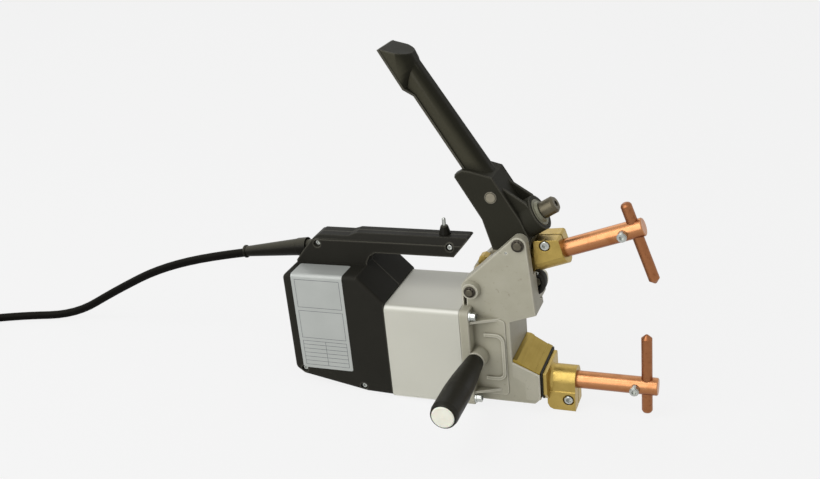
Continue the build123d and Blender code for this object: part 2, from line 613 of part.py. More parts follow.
def hand_lever():
    """Moulded lever: forked root, hollow rounded grip and a flared end, open towards the machine."""
    root = slab(LEVER, lever_view(0), -PLATE_HALF, PLATE_HALF)
    root = fillet(root.edges().group_by(Axis.Y)[0] + root.edges().group_by(Axis.Y)[-1], 0.8)
    grip = loft([crown_section(GRIP_START, GRIP_PALM[0]), crown_section(SPOON_END, GRIP_PALM[1])])
    foot = [Pos(0, (low - 5) / 2) * Rectangle(2 * GRIP_HALF, -5 - low) for low in (GRIP_BACK + 0.5, SPOON_BACK + 0.8)]
    grip += loft([lever_cut(SPOON_START) * foot[0], lever_cut(SPOON_FULL) * foot[1]])
    grip += slab(lever_cut(0), foot[1], SPOON_FULL, SPOON_END)
    stations = [(GRIP_START + 12, LIP_HALF, GRIP_BACK), (SPOON_START, LIP_HALF, GRIP_BACK),
                (SPOON_FULL, SPOON_HALF, SPOON_BACK), (SPOON_END, SPOON_HALF, SPOON_BACK + 1)]
    for here, ahead in zip(stations, stations[1:]):
        grip += loft([lip_section(*here), lip_section(*ahead)])
    grip += loft([scoop_section(*station) for station in SCOOP], ruled=True)
    solid = root + grip
    cap = outline((SPOON_END + 0.6, SPOON_BACK - 2), (SPOON_END - 1.2, SPOON_BACK + 3.2), (230.5, 7.5),
                  (222, 16), (222, 30), (270, 30), (270, -30), (SPOON_END + 0.6, -30))
    solid -= slab(LEVER, cap, -40, 40)

    wall = PLATE_THICK
    inner = PLATE_HALF - wall
    solid -= slab(LEVER, lever_view(wall), -inner, inner)
    groove = GRIP_HALF - 2.2
    top = CHANNEL_TOP
    channel = outline((-groove, -60), (-groove, top - 5.5), (-groove + 5, top), (groove - 5, top),
                      (groove, top - 5.5), (groove, -60))
    lie = Plane(origin=lever_point(85.0, 0), x_dir=(0, -1, 0), z_dir=LEVER_DIR)
    hollow = slab(lie, channel, 0, 165)
    sloped = outline((60, -80), (246.5, -80), (246.5, SPOON_BACK), (227, top), (60, top))
    solid -= hollow & slab(LEVER, sloped, -40, 40)

    # cross ribs in the channel; the first one is the stop that meets the switch pin
    for s in (SWITCH_STOP_S, 126.0, 158.0, 190.0, 218.0):
        depth = SWITCH_STOP_T if s == SWITCH_STOP_S else GRIP_BACK + 3
        rib = outline((s - 1.2, depth), (s + 1.2, depth), (s + 1.2, top - 5.6), (s - 1.2, top - 5.6))
        root_rib = outline((s - 1.2, depth), (s + 1.2, depth), (s + 1.2, top + 0.3), (s - 1.2, top + 0.3))
        solid += slab(LEVER, rib, -groove - 0.3, groove + 0.3)
        solid += slab(LEVER, root_rib, -groove + 5, groove - 5)

    # spring boss with its gussets
    solid += bar(lever_point(BOSS_S, 0), lever_point(BOSS_S, BOSS_TOP), BOSS_R)
    solid += bar(lever_point(BOSS_S, -13), lever_point(BOSS_S, 1), 8.5)
    gusset = outline((60.0, 12.0), (31.0, 26.0), (20.0, 26.0), (20.0, 12.0))
    for y in (-13.5, 13.5):
        solid += slab(LEVER, gusset, y - 1.6, y + 1.6)
    solid -= bar(lever_point(BOSS_S, BOSS_FLOOR), lever_point(BOSS_S, 40), BOSS_BORE)
    solid -= bar(lever_point(BOSS_S, -20), lever_point(BOSS_S, 20), PLUNGER_R + 0.06)
    solid -= slab(LEVER, Circle(LEVER_PIN_R + 0.05), -30, 30)
    solid -= slab(LEVER, Pos(*CROSS_PIN) * Circle(CROSS_PIN_R + 0.02), -30, 30)
    for side in (-1, 1):
        ring = Pos(*CROSS_PIN) * (Circle(7.0) - Circle(CROSS_PIN_R + 0.02))
        solid += slab(LEVER, ring, *sorted((side * (PLATE_HALF - 0.5), side * (PLATE_HALF + 0.45))))
    return solid


def force_gear():
    """Plunger with its roller, the force spring, and the screw and cap that set its preload."""
    fork_top = ROLLER_T + ROLLER_R + 0.7
    disc = BOSS_FLOOR + 0.1 - fork_top
    rod = turned(lever_point(BOSS_S, fork_top), PALM_DIR,
                 [(0, 0), (PLUNGER_R, 0), (PLUNGER_R, disc), (11.5, disc), (11.5, disc + 1.4), (0, disc + 1.4)])
    fork = Plane(origin=lever_point(BOSS_S, ROLLER_T - 2.5), x_dir=LEVER_DIR, z_dir=PALM_DIR)
    head = fork * extrude(Rectangle(8.4, 15.0), amount=10.0)
    head -= fork * Pos(0, 0, -1) * extrude(Rectangle(14, 7.2), amount=1.0 + 2.5 + ROLLER_R + 0.7)
    rod += head
    rod -= slab(LEVER, Pos(BOSS_S, ROLLER_T) * Circle(2.02), -20, 20)
    keep("plunger", rod)
    wheel = slab(LEVER, Pos(BOSS_S, ROLLER_T) * (Circle(ROLLER_R) - Circle(2.03)), -3.4, 3.4)
    keep("plunger_roller", wheel)
    keep("roller_pin", slab(LEVER, Pos(BOSS_S, ROLLER_T) * Circle(2.0), -7.4, 7.4))

    wire = 1.5
    turns = 4.0
    start = lever_point(BOSS_S, BOSS_FLOOR + 1.6 + wire)
    height = CAP_BACK - (BOSS_FLOOR + 1.6) - 2 * wire - 0.3
    coil = Helix(pitch=height / turns, height=height, radius=9.6)
    spring = sweep(Plane(origin=coil @ 0, z_dir=coil % 0) * Circle(wire), path=coil)
    keep("force_spring", Plane(origin=start, z_dir=PALM_DIR) * spring)

    cap = turned(lever_point(BOSS_S, CAP_BACK), PALM_DIR,
                 [(SCREW_R + 0.06, 0), (15.2, 0), (15.4, 0.6), (15.4, CAP_RIM - 0.6), (14.8, CAP_RIM),
                  (12.6, CAP_RIM), (10.8, CAP_THICK), (SCREW_R + 0.06, CAP_THICK)])
    keep("force_cap", cap)
    head = turned(lever_point(BOSS_S, CAP_BACK + CAP_THICK + 0.3), PALM_DIR,
                  [(0, 0), (SCREW_HEAD_R - 0.6, 0), (SCREW_HEAD_R, 0.6), (SCREW_HEAD_R, SCREW_LONG - 2.4),
                  (SCREW_HEAD_R - 2.0, SCREW_LONG), (0, SCREW_LONG)])
    tail = bar(lever_point(BOSS_S, CAP_BACK - 4.0), lever_point(BOSS_S, CAP_BACK + CAP_THICK + 1.0), SCREW_R)
    mouth = Plane(origin=lever_point(BOSS_S, CAP_BACK + CAP_THICK + SCREW_LONG - 6), x_dir=LEVER_DIR,
                  z_dir=PALM_DIR)
    socket = mouth * extrude(RegularPolygon(3.0, 6, major_radius=False), amount=10)
    keep("force_screw", head + tail - socket)


# ---------------------------------------------------------------- flexible shunt
def shunt():
    """Laminated copper strap from the secondary up through the slot to the rocker's underside."""
    low = 108.2
    under = UPPER_UNDER - 0.3 - SHUNT_THICK / 2
    end = arm_point(46.0, under)
    turn = arm_point(72.0, under)
    path = FilletPolyline((-156, SHELF_TOP + 0.2), (-156, low), (-119.0, low), (-107.0, 116.0), (-106.4, 126.0),
                          (turn[0], turn[2]), (end[0], end[2]), radius=4.6)
    return slice_y(trace(path, SHUNT_THICK), -9.2, 9.2)


# ---------------------------------------------------------------- rear housing with the fixed handle
BODY_VIEW = [(-407.7, 10.0), (-407.7, 134.0), (-314.6, 134.8), (CASE_REAR, 104.5), (CASE_REAR, -14.6),
             HOUSING_HEEL, (-397.5, 2.0)]
GRIP_VIEW = [(-403.0, 120.0), (-403.0, 137.0), (-391.0, 152.0), (-379.5, 165.0), (-373.0, 168.2), (-336.0, 168.2),
             (-326.5, HANDLE_TOP), (-194.0, HANDLE_TOP), (-192.4, 171.0), (-192.2, 169.4), (-208.5, HANDLE_UNDER), (-303.0, HANDLE_UNDER),
             (-310.0, 146.0), (-314.5, 138.0), (-315.5, 120.0)]
BODY_SCREWS = [(-395.5, 9.5), (-320.8, -6.8)]
GRIP_SCREWS = [(-374.5, 158.5), (-212.7, 161.5)]
GRIP_HALF_WIDTH = 16.0


def housing_body(inset):
    """Main box of the housing; inset shrinks it by the wall thickness to give the hollow."""
    half = CASE_HALF_WIDTH - inset
    face = outline(*BODY_VIEW)
    if inset:
        face = offset(face, amount=-inset)
        opening = Pos(CASE_REAR, 42) * Rectangle(30, 96)
        return slice_y(face, -half, half) + slice_y(opening, -half + 1.5, half - 1.5)
    solid = slice_y(face, -half, half)
    corners = [edge for edge in solid.edges().filter_by(Axis.Y) if edge.center().X < -395]
    solid = fillet(corners, 7.0)
    rims = [edge for edge in solid.edges()
            if abs(abs(edge.center().Y) - half) < 0.1 and edge.center().X < CASE_REAR - 1]
    return fillet(rims, 4.0)


def housing_grip(inset):
    """Neck and handle: a side view, a plan and a crown cut together."""
    top = HANDLE_TOP - inset
    view = outline(*GRIP_VIEW)
    if inset:
        neck = Pos(-359, 128) * Rectangle(76, 30)
        view = offset(view, amount=-inset).faces().sort_by(SortBy.AREA)[-1] + neck
    plan = outline((-420, -19.0 + inset), (-377, -18.0 + inset), (-305, -16.6 + inset), (-180, -15.6 + inset),
                   (-180, 15.6 - inset), (-305, 16.6 - inset), (-377, 18.0 - inset), (-420, 19.0 - inset))
    solid = slice_y(view, -30, 30) & slab(Plane.XY, plan, 90, 190)
    crease = 164.2 - inset / 2
    edge = 9.6 - inset
    shoulder = 14.4 - inset
    crown = outline((-30, 90), (-30, crease), (-shoulder, crease), (-edge, top + 0.1), (edge, top + 0.1),
                    (shoulder, crease), (30, crease), (30, 90))
    return solid & slab(FRONT, crown, -430, -180)


def housing():
    """Two moulded shells that meet on the middle plane, screwed through posts."""
    outer = housing_body(0) + housing_grip(0)
    hollow = housing_body(HOUSING_WALL) + housing_grip(HOUSING_WALL)
    shell = outer - hollow
    for place in BODY_SCREWS:
        shell += pin_y(place, 6.0, -CASE_HALF_WIDTH + 1, CASE_HALF_WIDTH - 1) & outer
    for place in GRIP_SCREWS:
        shell += pin_y(place, 4.8, -30, 30) & outer

    # seat of the strain relief, hole of the switch pin, vents low on the rear wall
    shell -= bar(from_bench(CORD_ROUTE[0]), relief_point(RELIEF_START), RELIEF_SEAT_R)
    shell -= bar(relief_point(RELIEF_START), relief_point(60), RELIEF_COLLAR_R + 0.05)
    shell -= bar((SWITCH_X, 0, 160), (SWITCH_X, 0, 175), PIN_R + 1.0)
    for z in range(30, 100, 9):
        shell -= block((-410, -400), (-26, 26), (z, z + 3.0))

    for place in BODY_SCREWS:
        shell -= pin_y(place, 1.7, -CASE_HALF_WIDTH - 1, 20)
        shell -= pin_y(place, 4.4, -CASE_HALF_WIDTH - 1, -CASE_HALF_WIDTH + 6)
    for place in GRIP_SCREWS:
        shell -= pin_y(place, 1.7, -30, 10)
        shell -= pin_y(place, 4.4, -30, -GRIP_HALF_WIDTH + 5)
    near = shell & block((-430, -150), (-80, 0), (-40, 200))
    far = shell & block((-430, -150), (0, 80), (-40, 200))
    keep("housing_near_shell", near)
    keep("housing_far_shell", far)

    screws = []
    for place in BODY_SCREWS:
        seat = (place[0], -CASE_HALF_WIDTH + 6, place[1])
        screws.append(cap_screw(seat, (0, 1, 0), 3.4, 62.0))
    for place in GRIP_SCREWS:
        seat = (place[0], -GRIP_HALF_WIDTH + 5, place[1])
        screws.append(cap_screw(seat, (0, 1, 0), 3.4, 19.0))
    keep("housing_screws", *screws)


# ---------------------------------------------------------------- weld switch on the handle
def switch():
    """Spring-loaded pin in a rubber boot; the closing lever presses it on to a micro switch."""
    pin = turned((SWITCH_X, 0, PIN_FOOT), (0, 0, 1),
                 [(0, 0), (PIN_R, 0), (PIN_R, 3.0), (3.6, 3.0), (3.6, 5.4), (PIN_R, 5.4),
                  (PIN_R, PIN_TOP - PIN_FOOT - 1.4), (0.6 * PIN_R, PIN_TOP - PIN_FOOT - 0.4), (0, PIN_TOP - PIN_FOOT)])
    keep("switch_pin", pin)
    boot = turned((SWITCH_X, 0, HANDLE_TOP), (0, 0, 1),
                  [(PIN_R + 0.4, 0), (6.9, 0), (6.7, 1.2), (4.5, 9.2), (3.7, 10.4), (PIN_R + 0.4, 10.6)])
    keep("switch_boot", boot)
    body = block((-240.0, -218.5), (-3.2, 3.2), (153.6, 158.6))
    body += block((-224.5, -219.5), (-1.6, 1.6), (158.6, 159.4))
    keep("micro_switch", body)


# ---------------------------------------------------------------- pieces inside the housing
def electronics():
    """Weld timer board with its parts and heat sink, and the mains terminal strip."""
    board = block((-388.0, -302.0), (36.4, 38.0), (16.0, 96.0))
    for x in (-382.0, -308.0):
        for z in (24.0, 90.0):
            board += pin_y((x, z), 3.0, 37.0, CASE_HALF_WIDTH - HOUSING_WALL)
    board += block((-380, -352), (20.4, 36.5), (62, 88))
    board += block((-344, -318), (26.4, 36.5), (70, 90))
    board += pin_y((-372, 40), 6.5, 12.4, 36.5)
    board += pin_y((-352, 40), 6.5, 12.4, 36.5)
    keep("control_board", board)

    sink = block((-338, -306), (30.4, 36.4), (24, 56))
    for z in range(24, 56, 6):
        sink += block((-338, -306), (12.4, 31), (z, z + 2))
    keep("thyristor_heat_sink", sink)

    strip = block((-386, -350), (-CASE_HALF_WIDTH + HOUSING_WALL, -34), (96, 110))
    for x in (-380, -368, -356):
        strip -= bar((x, -40, 105), (x, -40, 112), 2.6)
        strip -= pin_y((x, 100), 2.0, -40, -30)
    keep("terminal_strip", strip)


# ---------------------------------------------------------------- side grip
def side_grip():
    """Moulded grip on a stud, screwed into the near boss of the head."""
    length = SIDE_GRIP_END - SIDE_GRIP_BASE
    profile = [(0, 0), (9.2, 0), (10.2, 1.0), (10.6, 4.0), (11.2, 12.0), (12.6, 26.0), (14.2, 46.0),
               (SIDE_GRIP_R, 68.0), (SIDE_GRIP_R, length - 7.0), (SIDE_GRIP_R - 1.0, length - 2.0),
               (SIDE_GRIP_R - 2.4, length - 0.6), (0, length - 0.6)]
    start = (GRIP_X, -SIDE_GRIP_BASE, GRIP_Z)
    sleeve = turned(start, (0, -1, 0), profile)
    sleeve -= bar((GRIP_X, -SIDE_GRIP_BASE + 1, GRIP_Z), (GRIP_X, -SIDE_GRIP_BASE - 46, GRIP_Z), 5.0)
    sleeve -= bar((GRIP_X, -SIDE_GRIP_END - 1, GRIP_Z), (GRIP_X, -SIDE_GRIP_END + 4.4, GRIP_Z), GRIP_CAP_R + 0.02)
    keep("side_grip", sleeve)
    cap = turned((GRIP_X, -SIDE_GRIP_END + 4.4, GRIP_Z), (0, -1, 0),
                 [(0, 0), (GRIP_CAP_R, 0), (GRIP_CAP_R, 3.8), (GRIP_CAP_R - 1.2, 4.6), (0, 5.0)])
    keep("side_grip_cap", cap)
    keep("side_grip_stud", bar((GRIP_X, -31, GRIP_Z), (GRIP_X, -SIDE_GRIP_BASE - 45, GRIP_Z), 5.0))


# ---------------------------------------------------------------- mains cord
def relief_point(distance):
    """Point on the axis of the strain relief, measured from the rear wall outwards."""
    inner = Vector(*from_bench(CORD_ROUTE[0]))
    outer = Vector(*from_bench(CORD_ROUTE[1]))
    run = (outer - inner).normalized()
    return tuple(inner + run * (RELIEF_WALL + distance))


def strain_relief():
    """Moulded sleeve: collar in the neck's wall, then a smooth taper round the cord and an end ring."""
    hole = CORD_D / 2 + 0.02
    direction = tuple((Vector(*relief_point(10)) - Vector(*relief_point(0))).normalized())
    profile = [(hole, -8), (RELIEF_SEAT_R - 0.05, -8), (RELIEF_SEAT_R - 0.05, 0), (RELIEF_COLLAR_R, 0),
               (RELIEF_COLLAR_R, 12.5), (10.2, 13.2), (6.4, 84.6), (7.5, 85.2), (7.9, 86.0), (7.9, 87.4),
               (7.4, 88.0), (hole, 88.0)]
    sleeve = turned(relief_point(RELIEF_START), direction, profile)
    keep("strain_relief", sleeve)


def bend_radii(route):
    """Largest arc for each inner point: 0.45 of the shorter run over the tangent of half the turn."""
    radii = []
    for before, here, after in zip(route, route[1:], route[2:]):
        run_in = Vector(*here) - Vector(*before)
        run_out = Vector(*after) - Vector(*here)
        half_turn = radians(run_in.get_angle(run_out)) / 2
        radii.append(0.45 * min(run_in.length, run_out.length) / tan(half_turn))
    return radii


def cord():
    """Free cord from the neck down to the bench, wound into a flat coil beside the tool, and its plug."""
    radii = bend_radii(CORD_ROUTE)
    path = FilletPolyline(*CORD_ROUTE, radius=radii)
    lie = Plane(origin=CORD_ROUTE[0], z_dir=path % 0)
    tube = sweep(lie * Circle(CORD_D / 2), path=path)
    print("cord length", round(path.length, 1), "volume error",
          round(tube.volume / (path.length * pi * (CORD_D / 2) ** 2) - 1, 5))
    print("cord radii", [round(r) for r in radii])
    keep_on_bench("cord", tube)

    reach = CORD_D / 2
    inner = COIL_INNER_R - reach
    outer = COIL_OUTER_R + reach
    high = 2 * CORD_D
    section = RectangleRounded(outer - inner, high, reach - 0.01)
    coil = revolve(Plane.XZ * Pos((inner + outer) / 2, high / 2) * section, Axis.Z)
    place = Pos(*COIL_CENTRE, 0)
    keep_on_bench("cord_coil", place * coil)
    band = RectangleRounded(outer - inner + 2, high + 1, reach) - Pos(0, 0.1) * RectangleRounded(
        outer - inner, high - 0.8, reach - 0.5)
    tie = slab(Plane.XZ, Pos((inner + outer) / 2, high / 2 + 0.5) * band, -7, 7)
    keep_on_bench("cord_tie", place * Rot(0, 0, 60) * tie)

    angle = radians(COIL_EXIT_ANGLE)
    ahead = (-sin(angle), cos(angle), 0)
    leave = (COIL_CENTRE[0] + COIL_EXIT_R * cos(angle), COIL_CENTRE[1] + COIL_EXIT_R * sin(angle))
    rear = (leave[0] + TAIL_LENGTH * ahead[0], leave[1] + TAIL_LENGTH * ahead[1], PLUG_R)
    away = (leave[0] + 46 * ahead[0], leave[1] + 46 * ahead[1], PLUG_R)
    keep_on_bench("cord_tail", bar(away, rear, CORD_D / 2))
    plug(rear, ahead)


def plug(rear, ahead):
    """Round two-pin mains plug with side contacts, lying on the bench."""
    body = turned(rear, ahead, [(0, 0), (7.0, 0), (8.5, 4.0), (9.5, 14.0), (16.0, 22.0), (17.6, 30.0), (17.6, 34.0),
                                (PLUG_R, 35.5), (PLUG_R, 51.0), (PLUG_R - 1.0, 52.0), (0, 52.0)])
    lie = Plane(origin=rear, x_dir=(-ahead[1], ahead[0], 0), z_dir=ahead)
    for side in (-1, 1):
        body -= lie * Pos(0, side * 18.5, 46) * Box(9.0, 3.6, 14.0)
    keep_on_bench("plug", body)
    pins = []
    for side in (-1, 1):
        pin = lie * Pos(side * 9.5, 0, 52.0) * Cylinder(2.4, 19.0, align=(Align.CENTER, Align.CENTER, Align.MIN))
        pins.append(chamfer(pin.edges().sort_by_distance(rear)[-1], 0.9))
    contacts = [lie * Pos(0, side * 17.4, 46) * Box(6.0, 1.2, 11.0) for side in (-1, 1)]
    keep_on_bench("plug_pins", *pins)
    keep_on_bench("plug_earth_contacts", *contacts)


def keep_on_bench(name, *solids):
    """Store a piece that was drawn in the bench frame."""
    keep(name, *[BENCH.inverse() * solid for solid in solids])


# ---------------------------------------------------------------- build and export
def build():
    keep("casing", casing())
    transformer()
    keep("head_casting", head_casting())
    flange_bolts()
    lower_parts()
    upper_parts()
    pivots()
    keep("hand_lever", hand_lever())
    keep("lever_cross_pin", slab(LEVER, Pos(*CROSS_PIN) * Circle(CROSS_PIN_R), -PLATE_HALF - 1.0, PLATE_HALF + 1.0))
    force_gear()
    keep("flexible_shunt", shunt())
    housing()
    switch()
    electronics()
    side_grip()
    strain_relief()
    cord()


if __name__ == "__main__":
    build()
    os.makedirs("parts", exist_ok=True)
    for name, solids in pieces.items():
        placed = [BENCH * solid for solid in solids]
        shape = placed[0] if len(placed) == 1 else Compound(children=placed)
        export_step(shape, f"parts/{name}.step")
    for name, place in (("lever pivot", (LEVER_PIVOT[0], 0, LEVER_PIVOT[1])),
                        ("holder pivot", (HOLDER_PIVOT[0], 0, HOLDER_PIVOT[1])),
                        ("force screw", lever_point(BOSS_S, CAP_BACK)),
                        ("far grip hole", (GRIP_X, 40.0, GRIP_Z))):
        print(name, [round(value, 3) for value in to_bench(place)])
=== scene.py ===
"""Looks of a portable spot welder: a finish for every piece, the mains cord on one smooth spline, the
flexible shunt, the bare rating plate, a few small fasteners, a pale floor, soft lamps and the camera.

Lengths are in metres in the frame of the solids. A name that ends in _mm or _MM is in millimetres.
"""
import json
from math import atan2, cos, pi, radians, sin

import bmesh
import bpy
from mathutils import Matrix, Vector


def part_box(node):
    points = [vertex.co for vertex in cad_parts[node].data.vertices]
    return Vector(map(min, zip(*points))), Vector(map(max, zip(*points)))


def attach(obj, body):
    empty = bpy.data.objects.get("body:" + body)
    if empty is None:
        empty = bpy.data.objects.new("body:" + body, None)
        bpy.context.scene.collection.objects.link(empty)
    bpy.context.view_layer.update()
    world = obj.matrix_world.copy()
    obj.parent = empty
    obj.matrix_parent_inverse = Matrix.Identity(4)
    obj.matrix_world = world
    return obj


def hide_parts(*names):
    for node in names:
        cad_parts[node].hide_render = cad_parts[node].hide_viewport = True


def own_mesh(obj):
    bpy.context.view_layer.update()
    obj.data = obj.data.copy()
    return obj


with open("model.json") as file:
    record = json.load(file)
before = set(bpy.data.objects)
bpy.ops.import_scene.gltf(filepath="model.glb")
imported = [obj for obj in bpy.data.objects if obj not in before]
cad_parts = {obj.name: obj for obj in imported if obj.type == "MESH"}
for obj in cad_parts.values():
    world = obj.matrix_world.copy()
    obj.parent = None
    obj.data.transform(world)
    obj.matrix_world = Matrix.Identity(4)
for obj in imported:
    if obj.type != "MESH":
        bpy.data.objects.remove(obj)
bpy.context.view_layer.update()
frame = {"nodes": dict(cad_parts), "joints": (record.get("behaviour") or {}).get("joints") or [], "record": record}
solids = frame["nodes"]

joints = {joint["name"]: joint for joint in frame["joints"]}
HOLDER_PIN = Vector(joints["upper_arm_swing"]["pos_m"])      # the pin that the upper arm rocks on
AHEAD = Vector(joints["lower_arm_slide"]["axis"]).normalized()
SIDE = Vector((0, 1, 0))                                     # away from the side with the rating plate
UP = AHEAD.cross(SIDE)
LOWER_ARM_TILT = atan2(AHEAD.z, AHEAD.x)
upper_axis = joints["upper_arm_slide"]["axis"]
UPPER_ARM_TILT = atan2(upper_axis[2], upper_axis[0])


def on_tool(ahead, side, up):
    """Place on the tool, in millimetres from the middle of the holder pin along the tool's own axes."""
    return HOLDER_PIN + (AHEAD * ahead + SIDE * side + UP * up) / 1000


def put(name, data):
    """A new object in the scene, made from a mesh, a curve, a lamp or a camera."""
    thing = bpy.data.objects.new(name, data)
    bpy.context.scene.collection.objects.link(thing)
    return thing


def smooth_curve(name, dimensions, thick, places):
    """A round curve, thick metres across, that runs smoothly past the places."""
    curve = bpy.data.curves.new(name, "CURVE")
    curve.dimensions = dimensions
    curve.bevel_depth = thick / 2
    curve.resolution_u = 6
    spline = curve.splines.new("NURBS")
    spline.points.add(len(places) - 1)
    for point, place in zip(spline.points, places):
        point.co = (*place, 1.0)
    spline.order_u = 3
    spline.use_endpoint_u = True
    return curve


# ------------------------------------------------------------------------------- camera
EYE = (0.3344, -0.9493, 0.6707)
AZIMUTH, ELEVATION, ROLL = radians(20.264), radians(24.534), radians(-0.907)
LENS_MM, FILM_WIDTH_MM = 45.51, 36.0


def camera():
    """A standing maker's view of the near side, from a little ahead of the tool and above it."""
    back = Vector((sin(AZIMUTH) * cos(ELEVATION), -cos(AZIMUTH) * cos(ELEVATION), sin(ELEVATION)))
    right = Vector((cos(AZIMUTH), sin(AZIMUTH), 0))
    up = back.cross(right)
    rolled_right = right * cos(ROLL) + up * sin(ROLL)
    rolled_up = up * cos(ROLL) - right * sin(ROLL)
    data = bpy.data.cameras.new("camera")
    data.lens = LENS_MM
    data.sensor_width = FILM_WIDTH_MM
    eye = put("camera", data)
    turn = Matrix((rolled_right, rolled_up, back)).transposed().to_4x4()
    eye.matrix_world = Matrix.Translation(EYE) @ turn
    bpy.context.scene.camera = eye


camera()


# ------------------------------------------------------------------------------- mains cord
CORD_D = 0.0105
# the line's points, from the middle of the strain relief's mouth down to the bench and into the coil
CORD_ROUTE = [(-0.1543, 0.0578, 0.1567), (-0.2641, 0.0578, 0.1316), (-0.3711, 0.0578, 0.0965),
              (-0.4491, 0.0558, 0.0500), (-0.5161, 0.0498, 0.0053), (-0.5851, 0.0233, 0.0053),
              (-0.6467, -0.0135, 0.0053)]
COIL_CENTRE = (-0.6441, -0.0972)
COIL_OUTER_R = 0.0735
COIL_INNER_R = 0.0420
COIL_EXIT_R = 0.0643
COIL_START = radians(120.9)
COIL_EXIT = radians(240.0)
COIL_WHOLE_TURNS = 5
LOWER_TURNS = 3.0
CLIMB_TURNS = 0.3
POINTS_PER_TURN = 24
TAIL_LENGTH = 0.075
PLUG_AXIS_Z = 0.019
TAIL_RISE = ((0.25, 0.0166), (0.55, PLUG_AXIS_Z), (1.0, PLUG_AXIS_Z))     # share of the length, height


def coil_points():
    """Three turns winding in on the bench, a short climb, then about two turns winding out on top."""
    turns = COIL_WHOLE_TURNS + (COIL_EXIT - COIL_START) / (2 * pi)
    count = round(turns * POINTS_PER_TURN)
    outside = 1.0 / cos(pi / POINTS_PER_TURN)      # the smooth line passes inside its points
    points = []
    for step in range(count + 1):
        turn = turns * step / count
        above = turn - LOWER_TURNS
        if above < 0:
            radius = COIL_OUTER_R + (COIL_INNER_R - COIL_OUTER_R) * turn / LOWER_TURNS
        else:
            radius = COIL_INNER_R + (COIL_EXIT_R - COIL_INNER_R) * above / (turns - LOWER_TURNS)
        height = CORD_D / 2 + CORD_D * min(max(above / CLIMB_TURNS, 0.0), 1.0)
        angle = COIL_START + 2 * pi * turn
        points.append((COIL_CENTRE[0] + outside * radius * cos(angle),
                       COIL_CENTRE[1] + outside * radius * sin(angle), height))
    return points


def tail_points():
    """Off the top of the coil and level into the plug."""
    ahead = Vector((-sin(COIL_EXIT), cos(COIL_EXIT), 0))
    start = Vector((COIL_CENTRE[0] + COIL_EXIT_R * cos(COIL_EXIT),
                    COIL_CENTRE[1] + COIL_EXIT_R * sin(COIL_EXIT), 0))
    return [tuple(start + ahead * TAIL_LENGTH * share + Vector((0, 0, height)))
            for share, height in TAIL_RISE]


def mains_cord():
    """The whole cord as one spline, from the strain relief to the plug."""
    curve = smooth_curve("mains_cord", "3D", CORD_D, CORD_ROUTE + coil_points() + tail_points())
    curve.bevel_resolution = 5
    curve.materials.append(FINISHES["cord_rubber"])
    cord = put("mains_cord", curve)
    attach(cord, "tool")
    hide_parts("cord", "cord_coil", "cord_tail")


# ------------------------------------------------------------------------------- finishes
def linear(code):
    """Linear colour of an sRGB hex value."""
    values = [int(code[start:start + 2], 16) / 255 for start in (1, 3, 5)]
    return [v / 12.92 if v <= 0.04045 else ((v + 0.055) / 1.055) ** 2.4 for v in values] + [1.0]


def every(size_mm):
    """Texture scale that puts one feature every size_mm millimetres."""
    return 1000.0 / size_mm


def bands(pitch_mm):
    """Scale of a wave texture, which has 20 bands in a length of 2 pi, for one band every pitch_mm."""
    return every(pitch_mm) * 2 * pi / 20


def add(tree, kind, sockets=None, **settings):
    """Add a node with its settings, then set its sockets to values or link them to other nodes."""
    node = tree.nodes.new(kind)
    for name, value in settings.items():
        setattr(node, name, value)
    wire(tree, node, sockets or {})
    return node


def wire(tree, node, sockets):
    """Set a node's sockets to values or hex colours, or link them to sockets or nodes' first outputs."""
    for name, value in sockets.items():
        if isinstance(value, str):
            value = linear(value)
        if isinstance(value, bpy.types.Node):
            value = next(output for output in value.outputs if output.enabled)
        if isinstance(value, bpy.types.NodeSocket):
            tree.links.new(value, node.inputs[name])
        else:
            node.inputs[name].default_value = value


def begin(name):
    """A new material, its node tree, its shader, and the place on the piece in metres."""
    material = bpy.data.materials.new(name)
    material.use_nodes = True
    tree = material.node_tree
    place = add(tree, "ShaderNodeTexCoord").outputs["Object"]
    return material, tree, tree.nodes["Principled BSDF"], place


MOTTLED = {"From Min": 0.3, "From Max": 0.7}       # nearly all of a noise's values lie between these


def mottled_metal(name, dark, light, patch_mm, glossiest, dullest, metallic=1.0, edge_mm=0.5):
    """A metal in two tones and between two grades of roughness, in patches of patch_mm."""
    material, tree, shader, place = begin(name)
    cloud = add(tree, "ShaderNodeTexNoise", {"Vector": place, "Scale": every(patch_mm), "Detail": 4.0})
    body = add(tree, "ShaderNodeMix", {0: cloud, 6: dark, 7: light}, data_type="RGBA")
    gloss = add(tree, "ShaderNodeMapRange", {"Value": cloud, **MOTTLED, "To Min": glossiest,
                                             "To Max": dullest})
    edge = add(tree, "ShaderNodeBevel", {"Radius": edge_mm / 1000}, samples=4)
    wire(tree, shader, {"Base Color": body, "Metallic": metallic, "Roughness": gloss, "Normal": edge})
    return material


